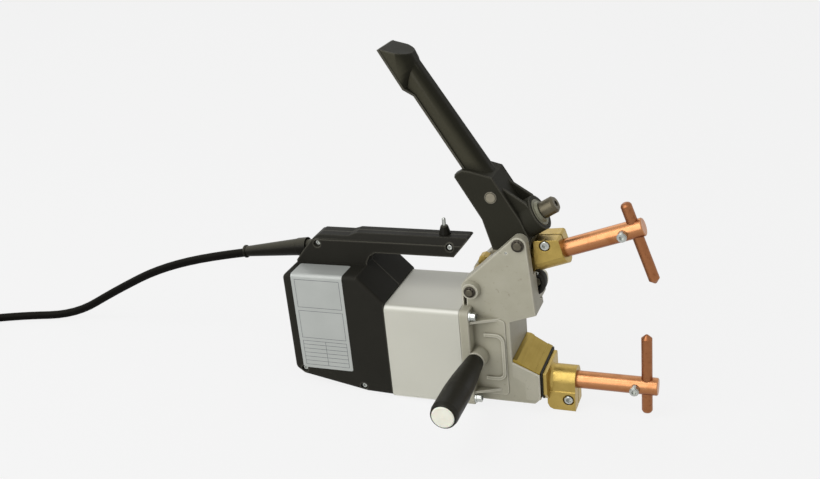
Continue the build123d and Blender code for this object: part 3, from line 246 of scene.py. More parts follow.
def baked_grey_enamel():
    """Enamel sprayed on sheet steel and baked: an even, satin coat with wide soft highlights. Its orange
    peel only breaks up the edge of a reflection, and handling leaves it a little duller in patches."""
    material, tree, shader, place = begin("baked_grey_enamel")
    cloud = add(tree, "ShaderNodeTexNoise", {"Vector": place, "Scale": every(70), "Detail": 3.0})
    colour = add(tree, "ShaderNodeMix", {0: cloud, 6: "#c0bfb3", 7: "#c8c7bb"}, data_type="RGBA")
    # orange peel: crests 2.5 mm apart
    peel = add(tree, "ShaderNodeTexNoise", {"Vector": place, "Scale": every(2.5), "Detail": 1.0})
    gloss = add(tree, "ShaderNodeMapRange", {"Value": cloud, **MOTTLED, "To Min": 0.3, "To Max": 0.4})
    edge = add(tree, "ShaderNodeBevel", {"Radius": 0.0009}, samples=4)
    # painted highlight: the rounded edges, which face none of the box's own directions, are painted paler
    facing = add(tree, "ShaderNodeNewGeometry").outputs["Normal"]
    square = add(tree, "ShaderNodeMapping", {"Vector": facing, "Rotation": (0.0, LOWER_ARM_TILT, 0.0)})
    shares = add(tree, "ShaderNodeVectorMath", {0: square}, operation="ABSOLUTE")
    parts = add(tree, "ShaderNodeSeparateXYZ", {"Vector": shares})
    most = add(tree, "ShaderNodeMath", {0: parts.outputs["X"], 1: parts.outputs["Y"]},
               operation="MAXIMUM")
    most = add(tree, "ShaderNodeMath", {0: most, 1: parts.outputs["Z"]}, operation="MAXIMUM")
    edge_highlight = add(tree, "ShaderNodeMapRange", {"Value": most, "From Min": 0.97, "From Max": 0.8,
                                               "To Max": 0.8})
    edge_lit = add(tree, "ShaderNodeMix", {0: edge_highlight, 6: colour, 7: "#e9e8de"}, data_type="RGBA")
    skin = add(tree, "ShaderNodeBump", {"Height": peel, "Normal": edge, "Strength": 0.5,
                                        "Distance": 0.00002})
    wire(tree, shader, {"Base Color": edge_lit, "Roughness": gloss, "Normal": skin, "IOR": 1.5,
                        "Specular IOR Level": 0.4})
    return material


def painted_die_casting():
    """Grey-beige paint on an aluminium die casting: the sand-blasted skin under the paint leaves it matt
    and pebbled, with small dark pits, painted shade in the corners and a painted highlight along the
    edges and ribs."""
    material, tree, shader, place = begin("painted_die_casting")
    cloud = add(tree, "ShaderNodeTexNoise", {"Vector": place, "Scale": every(24), "Detail": 4.0})
    paint = add(tree, "ShaderNodeMix", {0: cloud, 6: "#9b9784", 7: "#b0ad9c"}, data_type="RGBA")
    # pits are 0.3 mm across and would not show: drawn about 1 mm across, in clusters 5 mm apart
    pits = add(tree, "ShaderNodeTexNoise", {"Vector": place, "Scale": every(5), "Detail": 6.0,
                                            "Roughness": 0.7})
    pitted = add(tree, "ShaderNodeMapRange", {"Value": pits, "From Min": 0.61, "From Max": 0.7,
                                              "To Max": 0.6})
    aged = add(tree, "ShaderNodeMix", {0: pitted, 6: paint, 7: "#7d7965"}, data_type="RGBA")
    # blasted skin: grains of 0.4 mm, drawn 1.4 mm apart
    grain = add(tree, "ShaderNodeTexNoise", {"Vector": place, "Scale": every(1.4), "Detail": 3.0})
    gloss = add(tree, "ShaderNodeMapRange", {"Value": cloud, **MOTTLED, "To Min": 0.42, "To Max": 0.56})
    edge = add(tree, "ShaderNodeBevel", {"Radius": 0.0012}, samples=6)
    # painted shade: darker in the corners, where other surfaces lie near
    corner = add(tree, "ShaderNodeAmbientOcclusion", {"Distance": 0.007}, samples=6, only_local=True)
    in_corner = add(tree, "ShaderNodeMapRange", {"Value": corner.outputs["AO"], "From Min": 0.88,
                                                 "From Max": 0.5, "To Max": 0.6})
    corner_shaded = add(tree, "ShaderNodeMix", {0: in_corner, 6: aged, 7: "#706c59"}, data_type="RGBA")
    # painted highlight: paler where the metal under it is thin, along edges and ribs
    under = add(tree, "ShaderNodeAmbientOcclusion", {"Distance": 0.0019}, samples=6, inside=True,
                only_local=True)
    edge_highlight = add(tree, "ShaderNodeMapRange", {"Value": under.outputs["AO"], "From Min": 0.92,
                                               "From Max": 0.6, "To Max": 0.8})
    edge_lit = add(tree, "ShaderNodeMix", {0: edge_highlight, 6: corner_shaded, 7: "#d6d3c4"}, data_type="RGBA")
    skin = add(tree, "ShaderNodeBump", {"Height": grain, "Normal": edge, "Strength": 0.8,
                                        "Distance": 0.00008})
    wire(tree, shader, {"Base Color": edge_lit, "Roughness": gloss, "Normal": skin, "IOR": 1.5,
                        "Specular IOR Level": 0.4})
    return material


GRIP_FOOT = 0.282              # height at which the lever's root ends, above every other piece of nylon
GRIP_FADE = 0.006
GRIP_FLANK = Vector((-0.5, -0.85, -0.1)).normalized()        # the way that the flank with the painted sheen faces


def moulded_black_nylon(name, dark, light, edge_mm):
    """Glass-filled nylon moulded in a spark-eroded tool: near black and matt. The eroded skin scatters
    nearly all its gloss, so what the eye sees is the even dark body, a painted highlight along the edges, a
    painted sheen on the lever grip's flank, and a few pale rub marks."""
    material, tree, shader, place = begin(name)
    cloud = add(tree, "ShaderNodeTexNoise", {"Vector": place, "Scale": every(45), "Detail": 3.0})
    bare = add(tree, "ShaderNodeMix", {0: cloud, 6: dark, 7: light}, data_type="RGBA")
    # painted sheen: the lever grip's flank that faces GRIP_FLANK is painted lighter olive, less and less towards
    # its crown
    facing = add(tree, "ShaderNodeTexCoord").outputs["Normal"]
    flank = add(tree, "ShaderNodeVectorMath", {0: facing, 1: GRIP_FLANK}, operation="DOT_PRODUCT")
    on_flank = add(tree, "ShaderNodeMapRange", {"Value": flank.outputs["Value"], "From Min": 0.3,
                                                "From Max": 0.95})
    flank_sheen = add(tree, "ShaderNodeMix", {0: on_flank, 6: "#26251d", 7: "#424034"}, data_type="RGBA")
    height = add(tree, "ShaderNodeSeparateXYZ", {"Vector": place}).outputs["Z"]
    on_grip = add(tree, "ShaderNodeMapRange", {"Value": height, "From Min": GRIP_FOOT - GRIP_FADE,
                                               "From Max": GRIP_FOOT + GRIP_FADE})
    body = add(tree, "ShaderNodeMix", {0: on_grip, 6: bare, 7: flank_sheen}, data_type="RGBA")
    rubs = add(tree, "ShaderNodeTexNoise", {"Vector": place, "Scale": every(16), "Detail": 9.0,
                                            "Roughness": 0.75})
    rubbed = add(tree, "ShaderNodeMapRange", {"Value": rubs, "From Min": 0.66, "From Max": 0.76,
                                              "To Max": 0.3})
    worn = add(tree, "ShaderNodeMix", {0: rubbed, 6: body, 7: "#55534b"}, data_type="RGBA")
    edge = add(tree, "ShaderNodeBevel", {"Radius": edge_mm / 1000}, samples=4)
    # painted highlight: where the wall is thin just under the skin there is an edge, painted paler grey
    under = add(tree, "ShaderNodeAmbientOcclusion", {"Distance": 0.0022}, samples=6, inside=True,
                only_local=True)
    edge_highlight = add(tree, "ShaderNodeMapRange", {"Value": under.outputs["AO"], "From Min": 0.9,
                                               "From Max": 0.55, "To Max": 0.7})
    edge_lit = add(tree, "ShaderNodeMix", {0: edge_highlight, 6: worn, 7: "#5f5d54"}, data_type="RGBA")
    # spark erosion leaves craters of 0.1 mm, drawn 1.2 mm apart
    craters = add(tree, "ShaderNodeTexNoise", {"Vector": place, "Scale": every(1.2), "Detail": 2.0})
    gloss = add(tree, "ShaderNodeMapRange", {"Value": cloud, **MOTTLED, "To Min": 0.46, "To Max": 0.56})
    skin = add(tree, "ShaderNodeBump", {"Height": craters, "Normal": edge, "Strength": 0.5,
                                        "Distance": 0.00003})
    wire(tree, shader, {"Base Color": edge_lit, "Roughness": gloss, "Normal": skin, "IOR": 1.5,
                        "Specular IOR Level": 0.05})
    return material


def moulded_grip_rubber():
    """Firm rubber moulded over the side handle: dark olive grey with a soft sheen, faintly blotched
    where a hand holds it."""
    material, tree, shader, place = begin("moulded_grip_rubber")
    cloud = add(tree, "ShaderNodeTexNoise", {"Vector": place, "Scale": every(20), "Detail": 3.0})
    body = add(tree, "ShaderNodeMix", {0: cloud, 6: "#1b1a14", 7: "#24221b"}, data_type="RGBA")
    grain = add(tree, "ShaderNodeTexNoise", {"Vector": place, "Scale": every(1.1), "Detail": 2.0})
    gloss = add(tree, "ShaderNodeMapRange", {"Value": cloud, **MOTTLED, "To Min": 0.4, "To Max": 0.52})
    skin = add(tree, "ShaderNodeBump", {"Height": grain, "Strength": 0.4, "Distance": 0.00003})
    wire(tree, shader, {"Base Color": body, "Roughness": gloss, "Normal": skin, "IOR": 1.52,
                        "Specular IOR Level": 0.15})
    return material


def ivory_polyethylene():
    """Ivory polyethylene moulded as a plug for the grip's end: waxy, softly lit from within, and faintly
    mottled."""
    material, tree, shader, place = begin("ivory_polyethylene")
    cloud = add(tree, "ShaderNodeTexNoise", {"Vector": place, "Scale": every(9), "Detail": 5.0})
    body = add(tree, "ShaderNodeMix", {0: cloud, 6: "#e2e1d1", 7: "#f0efe2"}, data_type="RGBA")
    grain = add(tree, "ShaderNodeTexNoise", {"Vector": place, "Scale": every(1.5), "Detail": 1.0})
    edge = add(tree, "ShaderNodeBevel", {"Radius": 0.0005}, samples=4)
    skin = add(tree, "ShaderNodeBump", {"Height": grain, "Normal": edge, "Strength": 0.3,
                                        "Distance": 0.00002})
    wire(tree, shader, {"Base Color": body, "Roughness": 0.42, "Normal": skin, "IOR": 1.51,
                        "Subsurface Weight": 0.15, "Subsurface Scale": 0.002})
    return material


def drawn_copper(name, tilt):
    """Round copper bar, drawn through a die and left bare: fine lines run along it, handling has browned it
    in patches, and painted shade darkens the faces that look down, so it looks warm and bright on top."""
    material, tree, shader, place = begin(name)
    along = add(tree, "ShaderNodeMapping", {"Vector": place, "Rotation": (0.0, tilt, 0.0)})
    # die lines are 0.1 mm wide, drawn 1.1 mm wide and 40 mm long
    stretched = add(tree, "ShaderNodeMapping", {"Vector": along, "Scale": (1.1 / 40, 1.0, 1.0)})
    lines = add(tree, "ShaderNodeTexNoise", {"Vector": stretched, "Scale": every(1.1), "Detail": 3.0})
    cloud = add(tree, "ShaderNodeTexNoise", {"Vector": place, "Scale": every(13), "Detail": 5.0,
                                             "Roughness": 0.6})
    fresh = add(tree, "ShaderNodeMix", {0: lines, 6: "#b47a4f", 7: "#c28d64"}, data_type="RGBA")
    browned = add(tree, "ShaderNodeMapRange", {"Value": cloud, "From Min": 0.5, "From Max": 0.72,
                                               "To Max": 0.5})
    tarnish = add(tree, "ShaderNodeMix", {0: browned, 6: fresh, 7: "#95592f"}, data_type="RGBA")
    # painted shade: the faces that look down are painted darker brown
    facing = add(tree, "ShaderNodeNewGeometry").outputs["Normal"]
    lift = add(tree, "ShaderNodeSeparateXYZ", {"Vector": facing}).outputs["Z"]
    below = add(tree, "ShaderNodeMapRange", {"Value": lift, "From Min": 0.3, "From Max": -0.8,
                                             "To Max": 0.85})
    underside_shaded = add(tree, "ShaderNodeMix", {0: below, 6: tarnish, 7: "#804828"}, data_type="RGBA")
    gloss = add(tree, "ShaderNodeMapRange", {"Value": lines, **MOTTLED, "To Min": 0.26, "To Max": 0.34})
    edge = add(tree, "ShaderNodeBevel", {"Radius": 0.0006}, samples=4)
    skin = add(tree, "ShaderNodeBump", {"Height": lines, "Normal": edge, "Strength": 0.3,
                                        "Distance": 0.00002})
    wire(tree, shader, {"Base Color": underside_shaded, "Metallic": 1.0, "Roughness": gloss, "Normal": skin})
    return material


def worked_electrode_copper():
    """Electrode copper that has welded and been filed: duller and browner than the arms, scorched in
    spots, with the file's marks as a broken, uneven gloss."""
    material, tree, shader, place = begin("worked_electrode_copper")
    cloud = add(tree, "ShaderNodeTexNoise", {"Vector": place, "Scale": every(7), "Detail": 5.0,
                                             "Roughness": 0.65})
    warm = add(tree, "ShaderNodeMix", {0: cloud, 6: "#8c5a3b", 7: "#a46e49"}, data_type="RGBA")
    scorch = add(tree, "ShaderNodeTexNoise", {"Vector": place, "Scale": every(4), "Detail": 6.0})
    scorched = add(tree, "ShaderNodeMapRange", {"Value": scorch, "From Min": 0.58, "From Max": 0.74,
                                                "To Max": 0.55})
    burnt = add(tree, "ShaderNodeMix", {0: scorched, 6: warm, 7: "#70432a"}, data_type="RGBA")
    gloss = add(tree, "ShaderNodeMapRange", {"Value": scorch, **MOTTLED, "To Min": 0.3, "To Max": 0.5})
    # file marks are 0.2 mm apart, drawn 0.9 mm apart
    marks = add(tree, "ShaderNodeTexNoise", {"Vector": place, "Scale": every(0.9), "Detail": 2.0})
    edge = add(tree, "ShaderNodeBevel", {"Radius": 0.0005}, samples=4)
    skin = add(tree, "ShaderNodeBump", {"Height": marks, "Normal": edge, "Strength": 0.6,
                                        "Distance": 0.00006})
    wire(tree, shader, {"Base Color": burnt, "Metallic": 1.0, "Roughness": gloss, "Normal": skin})
    return material


def bar_copper():
    """Flat copper bar, sawn and bent for the secondary turn: a plain, slightly oxidised mill surface."""
    return mottled_metal("bar_copper", "#a9704a", "#c48d66", patch_mm=18, glossiest=0.3, dullest=0.45)


def cast_brass():
    """Sand-cast brass, machined only where it clamps: yellow and softly mottled, dimpled by the sand,
    with a few dark casting pits."""
    material, tree, shader, place = begin("cast_brass")
    cloud = add(tree, "ShaderNodeTexNoise", {"Vector": place, "Scale": every(11), "Detail": 5.0})
    body = add(tree, "ShaderNodeMix", {0: cloud, 6: "#a08849", 7: "#bba25c"}, data_type="RGBA")
    pits = add(tree, "ShaderNodeTexNoise", {"Vector": place, "Scale": every(6), "Detail": 7.0,
                                            "Roughness": 0.7})
    pitted = add(tree, "ShaderNodeMapRange", {"Value": pits, "From Min": 0.63, "From Max": 0.7,
                                              "To Max": 0.8})
    aged = add(tree, "ShaderNodeMix", {0: pitted, 6: body, 7: "#6c5a28"}, data_type="RGBA")
    # sand grains of 0.3 mm would not show: drawn as dimples 4 mm apart, with finer ones between them
    grain = add(tree, "ShaderNodeTexNoise", {"Vector": place, "Scale": every(4), "Detail": 3.0,
                                             "Roughness": 0.4})
    gloss = add(tree, "ShaderNodeMapRange", {"Value": cloud, **MOTTLED, "To Min": 0.3, "To Max": 0.46})
    edge = add(tree, "ShaderNodeBevel", {"Radius": 0.001}, samples=4)
    skin = add(tree, "ShaderNodeBump", {"Height": grain, "Normal": edge, "Strength": 0.8,
                                        "Distance": 0.0003})
    wire(tree, shader, {"Base Color": aged, "Metallic": 1.0, "Roughness": gloss, "Normal": skin})
    return material


def milled_brass():
    """Brass bar milled to a flat block and dulled by use: darker and browner than the castings, with
    faint straight cutter lines."""
    material, tree, shader, place = begin("milled_brass")
    cloud = add(tree, "ShaderNodeTexNoise", {"Vector": place, "Scale": every(16), "Detail": 4.0})
    body = add(tree, "ShaderNodeMix", {0: cloud, 6: "#927c38", 7: "#a8914a"}, data_type="RGBA")
    # cutter lines 0.3 mm apart, drawn 1.5 mm apart and 25 times as long
    across = add(tree, "ShaderNodeMapping", {"Vector": place, "Scale": (1.0, 0.04, 1.0)})
    cuts = add(tree, "ShaderNodeTexNoise", {"Vector": across, "Scale": every(1.5), "Detail": 2.0})
    gloss = add(tree, "ShaderNodeMapRange", {"Value": cuts, **MOTTLED, "To Min": 0.34, "To Max": 0.48})
    edge = add(tree, "ShaderNodeBevel", {"Radius": 0.0005}, samples=4)
    skin = add(tree, "ShaderNodeBump", {"Height": cuts, "Normal": edge, "Strength": 0.4,
                                        "Distance": 0.00002})
    wire(tree, shader, {"Base Color": body, "Metallic": 1.0, "Roughness": gloss, "Normal": skin})
    return material


def bright_zinc_plate():
    """Steel fasteners plated with bright zinc: nearly white, cool, and unevenly glossy from tumbling."""
    return mottled_metal("bright_zinc_plate", "#a0a39e", "#c6c8c3", patch_mm=3, glossiest=0.18,
                         dullest=0.32, edge_mm=0.4)


def turned_pin_steel():
    """Plain steel pins, turned and lightly oiled: mid grey with a brown cast and a dull gloss."""
    return mottled_metal("turned_pin_steel", "#7c7769", "#979180", patch_mm=3.5, glossiest=0.36,
                         dullest=0.5)


def blackened_steel(name, dark, light):
    """Steel blackened in hot oil: brown-black, metallic where light grazes it, worn paler in spots."""
    return mottled_metal(name, dark, light, patch_mm=5, glossiest=0.36, dullest=0.5, metallic=0.9)


def grey_steel_washer():
    """Grey-painted steel washer under the force screw: satin olive grey, mottled, with some of the
    steel's own gloss where the paint is rubbed thin."""
    return mottled_metal("grey_steel_washer", "#6e6d5b", "#83826f", patch_mm=4, glossiest=0.36,
                         dullest=0.5, metallic=0.35, edge_mm=0.6)


def pressed_board():
    """Black pressed fibre board: matt and slightly hairy, with no clear highlight."""
    material, tree, shader, place = begin("pressed_board")
    fibre = add(tree, "ShaderNodeTexNoise", {"Vector": place, "Scale": every(1.6), "Detail": 4.0})
    body = add(tree, "ShaderNodeMix", {0: fibre, 6: "#191815", 7: "#28261f"}, data_type="RGBA")
    skin = add(tree, "ShaderNodeBump", {"Height": fibre, "Strength": 0.5, "Distance": 0.00004})
    wire(tree, shader, {"Base Color": body, "Roughness": 0.62, "Normal": skin,
                        "Specular IOR Level": 0.25})
    return material


def soft_moulded_rubber(name, dark, light, top_sheen, rough, gloss):
    """Soft rubber, moulded and faintly bloomed: black with a wide, weak highlight, and a painted highlight
    that makes whatever faces up paler grey."""
    material, tree, shader, place = begin(name)
    bloom = add(tree, "ShaderNodeTexNoise", {"Vector": place, "Scale": every(14), "Detail": 4.0})
    body = add(tree, "ShaderNodeMix", {0: bloom, 6: dark, 7: light}, data_type="RGBA")
    # painted highlight: the faces that look up are painted paler
    facing = add(tree, "ShaderNodeNewGeometry").outputs["Normal"]
    lift = add(tree, "ShaderNodeSeparateXYZ", {"Vector": facing}).outputs["Z"]
    on_top = add(tree, "ShaderNodeMapRange", {"Value": lift, "From Min": 0.3, "From Max": 0.95,
                                              "To Max": 0.8})
    top_sheened = add(tree, "ShaderNodeMix", {0: on_top, 6: body, 7: top_sheen}, data_type="RGBA")
    grain = add(tree, "ShaderNodeTexNoise", {"Vector": place, "Scale": every(1.2), "Detail": 2.0})
    skin = add(tree, "ShaderNodeBump", {"Height": grain, "Strength": 0.4, "Distance": 0.00003})
    wire(tree, shader, {"Base Color": top_sheened, "Roughness": rough, "Normal": skin, "IOR": 1.52,
                        "Specular IOR Level": gloss})
    return material


def stacked_silicon_steel():
    """Core of stamped silicon-steel sheets with a bluish oxide: the cut edges show as fine stripes."""
    material, tree, shader, place = begin("stacked_silicon_steel")
    # sheets are 0.5 mm thick, drawn as bands 9.4 mm apart
    sheets = add(tree, "ShaderNodeTexWave", {"Vector": place, "Scale": bands(9.425), "Distortion": 0.3},
                 bands_direction="Y")
    body = add(tree, "ShaderNodeMix", {0: sheets, 6: "#494c50", 7: "#75777a"}, data_type="RGBA")
    skin = add(tree, "ShaderNodeBump", {"Height": sheets, "Strength": 0.5, "Distance": 0.0001})
    wire(tree, shader, {"Base Color": body, "Metallic": 0.9, "Roughness": 0.45, "Normal": skin})
    return material


def enamelled_copper_wire():
    """Copper wire in red-brown enamel, wound in layers: glossy round threads side by side."""
    material, tree, shader, place = begin("enamelled_copper_wire")
    # wire 1.4 mm thick, drawn as ridges 8.8 mm apart
    turns = add(tree, "ShaderNodeTexWave", {"Vector": place, "Scale": bands(8.796), "Distortion": 0.2},
                bands_direction="Z")
    body = add(tree, "ShaderNodeMix", {0: turns, 6: "#5f2a14", 7: "#a55a30"}, data_type="RGBA")
    skin = add(tree, "ShaderNodeBump", {"Height": turns, "Strength": 0.8, "Distance": 0.0004})
    wire(tree, shader, {"Base Color": body, "Metallic": 0.4, "Roughness": 0.28, "Normal": skin})
    return material


def green_circuit_board():
    """Glass-fibre board under green solder mask: dark tracks show through the glossy lacquer."""
    material, tree, shader, place = begin("green_circuit_board")
    # tracks 0.4 mm wide round fields of 9 by 2.6 mm
    tracks = add(tree, "ShaderNodeTexBrick", {"Vector": place, "Scale": every(1.0), "Brick Width": 9.0,
                                              "Row Height": 2.6, "Mortar Size": 0.4, "Color1": "#2c6b3f",
                                              "Color2": "#23583a", "Mortar": "#17402a"})
    wire(tree, shader, {"Base Color": tracks.outputs["Color"], "Roughness": 0.32, "IOR": 1.5})
    return material


def extruded_aluminium():
    """Extruded aluminium heat sink: pale grey with drawn lines along the section."""
    material, tree, shader, place = begin("extruded_aluminium")
    along = add(tree, "ShaderNodeMapping", {"Vector": place, "Scale": (0.03, 1.0, 1.0)})
    lines = add(tree, "ShaderNodeTexNoise", {"Vector": along, "Scale": every(1.0), "Detail": 3.0})
    body = add(tree, "ShaderNodeMix", {0: lines, 6: "#a9abac", 7: "#c9cbcc"}, data_type="RGBA")
    wire(tree, shader, {"Base Color": body, "Metallic": 1.0, "Roughness": 0.38})
    return material


def silver_foil():
    """Aluminium foil under matt lacquer, the usual plate: a pale grey that stays even in any light."""
    material, tree, shader, place = begin("silver_foil")
    cloud = add(tree, "ShaderNodeTexNoise", {"Vector": place, "Scale": every(30), "Detail": 4.0})
    foil = add(tree, "ShaderNodeMix", {0: cloud, 6: "#a5a8a4", 7: "#b3b6b2"}, data_type="RGBA")
    # lacquer grain of 0.2 mm, drawn 1 mm apart
    grain = add(tree, "ShaderNodeTexNoise", {"Vector": place, "Scale": every(1.0), "Detail": 2.0})
    gloss = add(tree, "ShaderNodeMapRange", {"Value": grain, **MOTTLED, "To Min": 0.4, "To Max": 0.55})
    wire(tree, shader, {"Base Color": foil, "Metallic": 0.25, "Roughness": gloss})
    return material


def printing_ink():
    """Grey-black screen ink on the foil, thin enough to look patchy."""
    material, tree, shader, place = begin("printing_ink")
    patch = add(tree, "ShaderNodeTexNoise", {"Vector": place, "Scale": every(3), "Detail": 3.0})
    ink = add(tree, "ShaderNodeMix", {0: patch, 6: "#4a4d50", 7: "#6d7173"}, data_type="RGBA")
    wire(tree, shader, {"Base Color": ink, "Roughness": 0.55})
    return material


def tinned_copper_foils():
    """Edges of the thin tinned copper foils that make up the shunt: a pale stack with fine dark gaps."""
    material, tree, shader, place = begin("tinned_copper_foils")
    # foils are 0.2 mm thick, drawn as bands 5 mm apart
    stack = add(tree, "ShaderNodeTexWave", {"Vector": place, "Scale": bands(5.0265), "Distortion": 1.0},
                bands_direction="X")
    body = add(tree, "ShaderNodeMix", {0: stack, 6: "#a9a491", 7: "#d9d5c4"}, data_type="RGBA")
    wire(tree, shader, {"Base Color": body, "Metallic": 0.8, "Roughness": 0.42})
    return material


FINISHES = {
    "grey_paint": baked_grey_enamel(),
    "casting": painted_die_casting(),
    "black_plastic": moulded_black_nylon("moulded_black_nylon", "#22211d", "#2a2924", edge_mm=1.0),
    "grip_rubber": moulded_grip_rubber(),
    "ivory_plastic": ivory_polyethylene(),
    "copper": bar_copper(),
    "brass": cast_brass(),
    "dark_brass": milled_brass(),
    "zinc": bright_zinc_plate(),
    "pin_steel": turned_pin_steel(),
    "dark_steel": blackened_steel("blackened_spring_steel", "#38342e", "#4b463e"),
    "insulation": pressed_board(),
    # painted highlight: the third colour is painted on the faces that look up
    "rubber": soft_moulded_rubber("soft_moulded_rubber", "#14130f", "#1e1d18", top_sheen="#59574d", rough=0.3,
                                  gloss=0.05),
    "cord_rubber": soft_moulded_rubber("rubber_cord_sheath", "#0c0b0a", "#141311", top_sheen="#24231f",
                                       rough=0.5, gloss=0.02),
    "lamination_steel": stacked_silicon_steel(),
    "winding": enamelled_copper_wire(),
    "circuit_board": green_circuit_board(),
    "aluminium": extruded_aluminium(),
    "grey_disc": grey_steel_washer(),
}
OWN_FINISH = {
    "lower_arm": drawn_copper("drawn_copper_lower_arm", LOWER_ARM_TILT),
    "upper_arm": drawn_copper("drawn_copper_upper_arm", UPPER_ARM_TILT),
    "lower_electrode": worked_electrode_copper(),
    "hand_lever": moulded_black_nylon("moulded_lever_nylon", "#27261f", "#302f27", edge_mm=1.2),
    "force_screw": blackened_steel("browned_screw_steel", "#544e40", "#6c6655"),
    "lever_pin": blackened_steel("oiled_pin_steel", "#4f4a3f", "#6b6658"),
}
OWN_FINISH["upper_electrode"] = OWN_FINISH["lower_electrode"]
OWN_FINISH["holder_pin"] = OWN_FINISH["lever_pin"]
for part in frame["record"]["subparts"]:
    finish = OWN_FINISH.get(part["node"]) or FINISHES[part["material_slot"]]
    solids[part["node"]].data.materials.clear()
    solids[part["node"]].data.materials.append(finish)

mains_cord()


# ------------------------------------------------------------------------------- rating plate
# places on the tool, from the holder pin
PLATE_REAR_MM = -212.5      # ahead
PLATE_FOOT_MM = -110.5      # up
HOUSING_SIDE_MM = -52.0     # to the side
# sizes of the plate, laid flat
PLATE_WIDE_MM = 64.4
PLATE_LONG_MM = 152.0
SHOULDER_MM = 122.3         # from its foot to the housing's shoulder, where it folds
FOLD_MM = 5                 # it bends this far before and after the shoulder
RIM_MM = 2.0
CORNER_CUT_MM = 0.6
CLEAR_MM = 0.3              # how far off the housing it is cut before it is laid on
# what is printed on it
RULE_MM = 0.6
BOX_LEFT_MM, BOX_RIGHT_MM = 4.0, 60.4
BOX_FEET_AND_HEADS_MM = ((4.0, 36.4), (40.0, 76.0), (80.0, 116.0))
TABLE_ROW_MM = 5.4
TABLE_COLUMN_MM = 33.0


def ruled_boxes():
    """Rectangles of ink on the plate, (left, right, foot, head): a table and, above it, two empty
    boxes."""
    rules = []
    for foot, head in BOX_FEET_AND_HEADS_MM:
        rules += [(BOX_LEFT_MM, BOX_RIGHT_MM, foot, foot + RULE_MM),
                  (BOX_LEFT_MM, BOX_RIGHT_MM, head - RULE_MM, head),
                  (BOX_LEFT_MM, BOX_LEFT_MM + RULE_MM, foot, head),
                  (BOX_RIGHT_MM - RULE_MM, BOX_RIGHT_MM, foot, head)]
    foot, head = BOX_FEET_AND_HEADS_MM[0]
    for row in range(1, 6):
        rule = foot + TABLE_ROW_MM * row
        rules.append((BOX_LEFT_MM, BOX_RIGHT_MM, rule, rule + RULE_MM))
    rules.append((TABLE_COLUMN_MM, TABLE_COLUMN_MM + RULE_MM, foot, head))
    return rules


def rating_plate():
    """Foil plate stuck on the near side of the housing and folded over its shoulder. It is cut into a
    net of faces along the rules, which take the ink, then laid on the housing."""
    rules = ruled_boxes()
    across = {0.0, RIM_MM, PLATE_WIDE_MM - RIM_MM, PLATE_WIDE_MM}.union(*(rule[:2] for rule in rules))
    along = {0.0, RIM_MM, PLATE_LONG_MM - RIM_MM, PLATE_LONG_MM}.union(*(rule[2:] for rule in rules))
    along |= {SHOULDER_MM + step for step in range(-FOLD_MM, FOLD_MM + 1)}
    across, along = (sorted({round(edge, 3) for edge in edges}) for edges in (across, along))
    plate = bmesh.new()
    net = []
    for v in along:
        row = []
        for u in across:
            corner = u in (across[0], across[-1]) and v in (along[0], along[-1])
            cut = CORNER_CUT_MM if corner else 0.0
            flat_u = u + (cut if u == across[0] else -cut)
            flat_v = v + (cut if v == along[0] else -cut)
            side = HOUSING_SIDE_MM - CLEAR_MM + max(flat_v - SHOULDER_MM, 0.0)
            up = PLATE_FOOT_MM + min(flat_v, SHOULDER_MM + CLEAR_MM)
            row.append(plate.verts.new(on_tool(PLATE_REAR_MM + flat_u, side, up)))
        net.append(row)
    for j, (low, high) in enumerate(zip(net, net[1:])):
        for i in range(len(across) - 1):
            face = plate.faces.new((low[i], low[i + 1], high[i + 1], high[i]))
            u, v = (across[i] + across[i + 1]) / 2, (along[j] + along[j + 1]) / 2
            inked = any(left < u < right and foot < v < head for left, right, foot, head in rules)
            face.material_index = int(inked)
    mesh = bpy.data.meshes.new("rating_plate")
    plate.to_mesh(mesh)
    plate.free()
    mesh.materials.append(silver_foil())
    mesh.materials.append(printing_ink())
    piece = put("rating_plate", mesh)
    laid = piece.modifiers.new("laid_on_the_housing", "SHRINKWRAP")
    laid.target = solids["housing_near_shell"]
    laid.wrap_mode = "ABOVE_SURFACE"
    laid.offset = 0.00012
    thick = piece.modifiers.new("foil", "SOLIDIFY")
    thick.thickness = 0.0001
    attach(piece, "tool")


rating_plate()


# ------------------------------------------------------------------------------- flexible shunt
# (ahead, up) from the holder pin: up from the secondary, forward, and back over the rocker's end
SHUNT_LINE_MM = [(28.0, -46.3), (28.0, -20.0), (31.0, -14.3), (54.0, -14.3), (66.5, -13.6), (73.0, -6.5),
                 (73.5, 3.0), (70.0, 8.6), (62.0, 7.6), (48.0, 2.1)]


def shunt_ribbon(name, finish, width, thick, side):
    """A flat ribbon along the shunt's line, with rounded edges: its width, thickness and place to the
    side are in mm."""
    places = [(ahead / 1000, up / 1000, 0.0) for ahead, up in SHUNT_LINE_MM]
    curve = smooth_curve(name, "2D", thick / 1000, places)
    curve.fill_mode = "NONE"
    curve.extrude = (width - thick) / 2000
    curve.bevel_resolution = 3
    form = put(name, curve)
    bpy.context.view_layer.update()
    mesh = bpy.data.meshes.new_from_object(form.evaluated_get(bpy.context.evaluated_depsgraph_get()))
    bpy.data.objects.remove(form)
    place = Matrix((AHEAD, UP, -SIDE)).transposed().to_4x4()
    place.translation = HOLDER_PIN + SIDE * side / 1000
    mesh.transform(place)
    mesh.name = name
    mesh.materials.clear()
    mesh.materials.append(finish)
    for face in mesh.polygons:
        face.use_smooth = True
    return put(name, mesh)


def flexible_shunt():
    """A pack of thin tinned foils in a soft black sleeve, C-shaped, from the secondary turn to the
    rocker."""
    sleeve = shunt_ribbon("shunt_sleeve", FINISHES["insulation"], width=14.2, thick=6.6, side=-2.1)
    foils = shunt_ribbon("shunt_foils", tinned_copper_foils(), width=16.2, thick=6.2, side=1.1)
    for piece in (sleeve, foils):
        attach(piece, "tool")
        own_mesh(piece)
    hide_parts("flexible_shunt")


flexible_shunt()


# ------------------------------------------------------------------------------- small fasteners
SIDES = 36                  # of a turned part, all round


